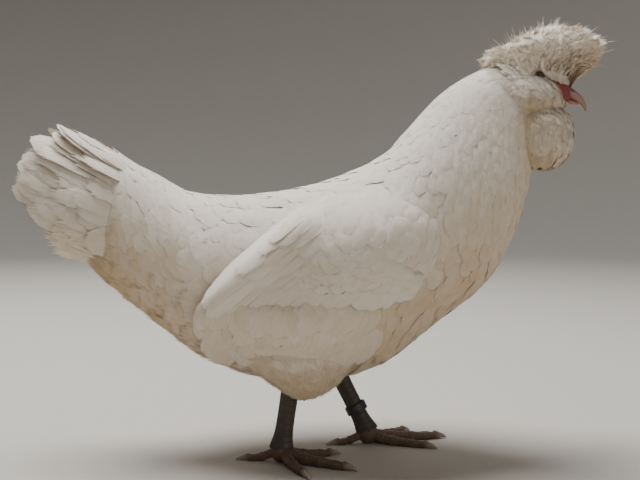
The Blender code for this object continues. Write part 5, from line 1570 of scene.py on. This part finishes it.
class HenBareParts(bpy.types.PropertyGroup):
    covered: colour_choice("Covered skin", "Colour of the skin under the coat", (0.78, 0.67, 0.52))
    face_red: colour_choice("Face", "Colour of the bare face", (0.27, 0.050, 0.052))
    comb_red: colour_choice("Comb", "Colour of the comb", (0.17, 0.018, 0.018))
    iris: colour_choice("Iris", "Colour of the iris", (0.06, 0.022, 0.010))
    bill_base: colour_choice("Bill base", "Colour of the bill at the face", (0.27, 0.075, 0.070))
    bill_horn: colour_choice("Bill horn", "Colour of the bill's tip", (0.34, 0.180, 0.150))
    slit_width: size_choice("Eye opening width", "Length of the slit between the lids", 0.0086,
                            0.003, 0.0095, "LENGTH")
    slit_height: size_choice("Eye opening height", "Height of the slit between the lids", 0.0032,
                             0.001, 0.008, "LENGTH")


class HenLegs(bpy.types.PropertyGroup):
    shank: colour_choice("Shank", "Colour of the shank's plates", (0.064, 0.050, 0.040))
    toe: colour_choice("Toe", "Colour of the toes' plates", (0.150, 0.092, 0.058))
    crease: colour_choice("Crease", "Colour between the plates", (0.030, 0.022, 0.019))
    claw: colour_choice("Claw", "Colour of the claws", (0.22, 0.165, 0.135))
    ring: colour_choice("Leg ring", "Colour of the leg ring", (0.015, 0.015, 0.017))
    shank_plates: count_choice("Shank plates", "Plates down the front of each shank", 13, 6, 24)


class HenStage(bpy.types.PropertyGroup):
    floor: colour_choice("Floor", "Colour of the floor", (0.48, 0.447, 0.395))
    key_power: size_choice("Key light", "Power of the large soft light", 92.0, 0, 1000, "POWER")
    fill_power: size_choice("Fill light", "Power of each weak light", 6.5, 0, 1000, "POWER")
    lens: size_choice("Lens", "Focal length of the camera in millimetres", 56.25, 20, 200, "NONE")


def plumage_set():
    """The coat's materials, made once and shared: name, barbs, their depth, how much brighter; the
    crest's brighter copy is painted light.
    """
    colours = bpy.context.scene.hen_plumage
    made = {}
    for key, (name, barbs, depth, brighter) in FINISHES.items():
        white, cream = shade(colours.white, brighter), shade(colours.cream, brighter)
        made[key] = (bpy.data.materials.get(name)
                     or plumage_material(name, white, cream, barbs, depth))
    return made


class HEN_OT_stage(bpy.types.Operator):
    """Floor that curves up behind, soft lights and a camera at the hen's right side"""
    bl_idname = "hen.stage"
    bl_label = "Stage"

    def execute(self, context):
        settings = context.scene.hen_stage
        # The floor is turned about Z: flat out to the bend, then up a quarter circle.
        bend = np.linspace(0.05, 1.5, 30)
        flat = np.linspace(0.02, FLOOR_REACH, 40)
        reach = np.concatenate((flat, FLOOR_REACH + FLOOR_BEND * np.sin(bend)))[:, None]
        height = np.concatenate((np.zeros(40), FLOOR_BEND - FLOOR_BEND * np.cos(bend)))[:, None]
        turn = np.linspace(0, TAU, 160, endpoint=False)[None, :]
        rings = np.stack((reach * np.cos(turn), reach * np.sin(turn),
                          height * np.ones_like(turn) - FLOOR_SINK), axis=-1)
        points, faces = closed_rings(rings)
        material, tree = new_material("Studio floor", settings.floor, 0.9)
        colour = blend_colours(tree, object_noise(tree, 60.0, 6.0), shade(settings.floor, 0.97),
                               shade(settings.floor, 1.03))
        tree.links.new(colour, tree.nodes["Principled BSDF"].inputs["Base Color"])
        # Without the outer cap, and with its upper side as the face.
        floor = add_mesh("studio_floor", points[:-1], faces[:-turn.size, ::-1], material)

        for name, (place, power, size, colour) in LAMPS.items():
            lamp = bpy.data.lights.new(name, "AREA")
            lamp.color, lamp.shape, lamp.size = colour, "DISK", size
            lamp.energy = getattr(settings, power)
            light = bpy.data.objects.new(name, lamp)
            aim = (Vector(LAMP_AIM) - Vector(place)).to_track_quat("-Z", "Y")
            light.matrix_world = Matrix.Translation(place) @ aim.to_matrix().to_4x4()
            context.scene.collection.objects.link(light)
        world = bpy.data.worlds.new("Studio")
        world.use_nodes = True
        sky = world.node_tree.nodes["Background"].inputs
        sky["Color"].default_value, sky["Strength"].default_value = SKY_COLOUR, SKY_STRENGTH
        context.scene.world = world

        lens = bpy.data.cameras.new("portrait")
        lens.lens, lens.sensor_width = settings.lens, SENSOR
        camera = bpy.data.objects.new("portrait", lens)
        tilt = Matrix.Rotation(math.radians(90 - CAMERA_DOWN), 4, "X")
        camera.matrix_world = Matrix.Translation(CAMERA_PLACE) @ tilt
        context.scene.collection.objects.link(camera)
        context.scene.camera = camera
        return {"FINISHED"}


class HEN_OT_skin(bpy.types.Operator):
    """One skin under the whole coat, red where the face is bare"""
    bl_idname = "hen.skin"
    bl_label = "Skin"

    def execute(self, context):
        make_skin(skin_material(context.scene.hen_bare))
        return {"FINISHED"}


class HEN_OT_body_coat(bpy.types.Operator):
    """Feathers over the trunk, the neck and the head"""
    bl_idname = "hen.body_coat"
    bl_label = "Body coat"

    def execute(self, context):
        settings, coat = context.scene.hen_plumage, plumage_set()["coat"]
        draw = np.random.default_rng(SEED)
        half = settings.body_count // 2
        make_body_coat("coat_rear", half, coat, draw)
        make_body_coat("coat_breast", settings.body_count - half, coat, draw)
        make_body_coat("coat_neck", settings.neck_count, coat, draw)
        make_face_fluff(settings.fluff_count, coat, draw)
        make_body_coat("coat_head", settings.head_count, coat, draw)
        return {"FINISHED"}


class HEN_OT_down(bpy.types.Operator):
    """Loose down on the belly, the vent and the thighs"""
    bl_idname = "hen.down"
    bl_label = "Down"

    def execute(self, context):
        settings, coat = context.scene.hen_plumage, plumage_set()["coat"]
        draw = np.random.default_rng(SEED + 1)
        count = settings.down_count
        rungs = rung_number(np.arange(BODY.rings))[:, None]
        low = smooth_step(-BODY.normals[..., 2] * 1.6 - 0.25)
        belly = low * smooth_step((8.6 - rungs) / 1.5) * (rungs > -0.4)
        make_down("down_belly", BODY, count, belly, 0.024, 0.0085, coat, draw)
        vent = smooth_step((2.6 - rungs) / 1.2) * (BODY.points[..., 2] < 0.185) * (rungs > -0.5)
        make_down("down_vent", BODY, count * 2 // 3, vent, 0.026, 0.0090, coat, draw)
        for side in SIDES:
            make_flank(side, coat, draw)
            make_thigh(side, count, coat, draw)
        return {"FINISHED"}


class HEN_OT_wings(bpy.types.Operator):
    """Flight feathers, coverts and shoulder feathers on both sides"""
    bl_idname = "hen.wings"
    bl_label = "Wings"

    def execute(self, context):
        settings, materials = context.scene.hen_plumage, plumage_set()
        for side in SIDES:
            draw = np.random.default_rng(SEED + 10 + side)
            make_wing(side, materials, settings, draw)
            make_shoulder(side, settings.shoulder_count, materials["coat"], draw)
        return {"FINISHED"}


class HEN_OT_tail(bpy.types.Operator):
    """The tail's fan, its coverts and the soft feathers under it"""
    bl_idname = "hen.tail"
    bl_label = "Tail"

    def execute(self, context):
        draw = np.random.default_rng(SEED + 20)
        make_tail(plumage_set(), context.scene.hen_plumage, draw)
        return {"FINISHED"}


class HEN_OT_crest(bpy.types.Operator):
    """The crest's plumes and loose wisps"""
    bl_idname = "hen.crest"
    bl_label = "Crest"

    def execute(self, context):
        draw = np.random.default_rng(SEED + 30)
        make_crest(plumage_set()["crest"], context.scene.hen_plumage, draw)
        return {"FINISHED"}


class HEN_OT_beard(bpy.types.Operator):
    """The round beard and the muffs on the cheeks"""
    bl_idname = "hen.beard"
    bl_label = "Beard and muffs"

    def execute(self, context):
        coat, draw = plumage_set()["coat"], np.random.default_rng(SEED + 40)
        make_tuft("beard", "beard", LEFT, "beard", coat, draw)
        for side, word in SIDES.items():
            make_tuft("beard_lobe_" + word, "beard_lobe", side, "beard", coat, draw)
            make_tuft("muff_" + word, "muff", side, "muff_" + word, coat, draw)
        return {"FINISHED"}


class HEN_OT_eyes(bpy.types.Operator):
    """Eyeballs and the folded lids round them"""
    bl_idname = "hen.eyes"
    bl_label = "Eyes"

    def execute(self, context):
        settings = context.scene.hen_bare
        wet, red = eye_material(tuple(settings.iris)), settings.face_red
        rim = flesh_material("Lid skin", shade(red, 0.50), shade(red, 0.25), 0.55)
        for side in SIDES:
            make_eye(side, wet)
            make_lids(side, settings, rim)
        return {"FINISHED"}


class HEN_OT_bill(bpy.types.Operator):
    """Both halves of the bill"""
    bl_idname = "hen.bill"
    bl_label = "Bill"

    def execute(self, context):
        settings = context.scene.hen_bare
        horn = horn_material("Bill horn", settings.bill_base, settings.bill_horn,
                             (0.05, 0.025, 0.02), 0.38)
        make_bill("bill_upper", UPPER_BILL_RUNGS, UPPER_BILL_POLES, horn, True)
        make_bill("bill_lower", LOWER_BILL_RUNGS, LOWER_BILL_POLES, horn, False)
        return {"FINISHED"}


class HEN_OT_comb(bpy.types.Operator):
    """The small two-horned comb"""
    bl_idname = "hen.comb"
    bl_label = "Comb"

    def execute(self, context):
        red = context.scene.hen_bare.comb_red
        make_comb(flesh_material("Comb flesh", red, shade(red, 0.5), 0.45))
        return {"FINISHED"}


class HEN_OT_legs(bpy.types.Operator):
    """Scaled shanks, feet, claws and the leg ring"""
    bl_idname = "hen.legs"
    bl_label = "Legs"

    def execute(self, context):
        settings = context.scene.hen_legs
        shank = leg_material("Shank scutes", settings.shank, settings.crease)
        toe = leg_material("Toe scutes", settings.toe, settings.crease)
        claw = horn_material("Claw horn", settings.claw, shade(settings.claw, 1.5),
                             (0.08, 0.05, 0.04), 0.4)
        for side in SIDES:
            make_shank(side, settings, shank)
            make_foot(side, toe)
            make_claws(side, claw)
        make_leg_ring(ring_material(settings.ring))
        return {"FINISHED"}


GROUPS = {"hen_plumage": HenPlumage, "hen_bare": HenBareParts, "hen_legs": HenLegs,
          "hen_stage": HenStage}
OPERATORS = (HEN_OT_stage, HEN_OT_skin, HEN_OT_body_coat, HEN_OT_down, HEN_OT_wings, HEN_OT_tail,
             HEN_OT_crest, HEN_OT_beard, HEN_OT_eyes, HEN_OT_bill, HEN_OT_comb, HEN_OT_legs)


class HEN_PT_dresser(bpy.types.Panel):
    """The hen's pieces, each with its button, and the choices behind them"""
    bl_idname = "HEN_PT_dresser"
    bl_label = "Hen"
    bl_space_type = "VIEW_3D"
    bl_region_type = "UI"
    bl_category = "Hen"

    def draw(self, context):
        for operator in OPERATORS:
            self.layout.operator(operator.bl_idname)
        for group in GROUPS:
            box = self.layout.box()
            settings = getattr(context.scene, group)
            for name in settings.bl_rna.properties.keys():
                if name not in ("rna_type", "name"):
                    box.prop(settings, name)


def register():
    for group in GROUPS.values():
        bpy.utils.register_class(group)
    for name, group in GROUPS.items():
        setattr(bpy.types.Scene, name, bpy.props.PointerProperty(type=group))
    for operator in OPERATORS:
        bpy.utils.register_class(operator)
    bpy.utils.register_class(HEN_PT_dresser)


def unregister():
    bpy.utils.unregister_class(HEN_PT_dresser)
    for operator in reversed(OPERATORS):
        bpy.utils.unregister_class(operator)
    for name, group in GROUPS.items():
        delattr(bpy.types.Scene, name)
        bpy.utils.unregister_class(group)


def main():
    register()
    for operator in OPERATORS:
        area, name = operator.bl_idname.split(".")
        getattr(getattr(bpy.ops, area), name)()


if __name__ == "__main__":
    main()
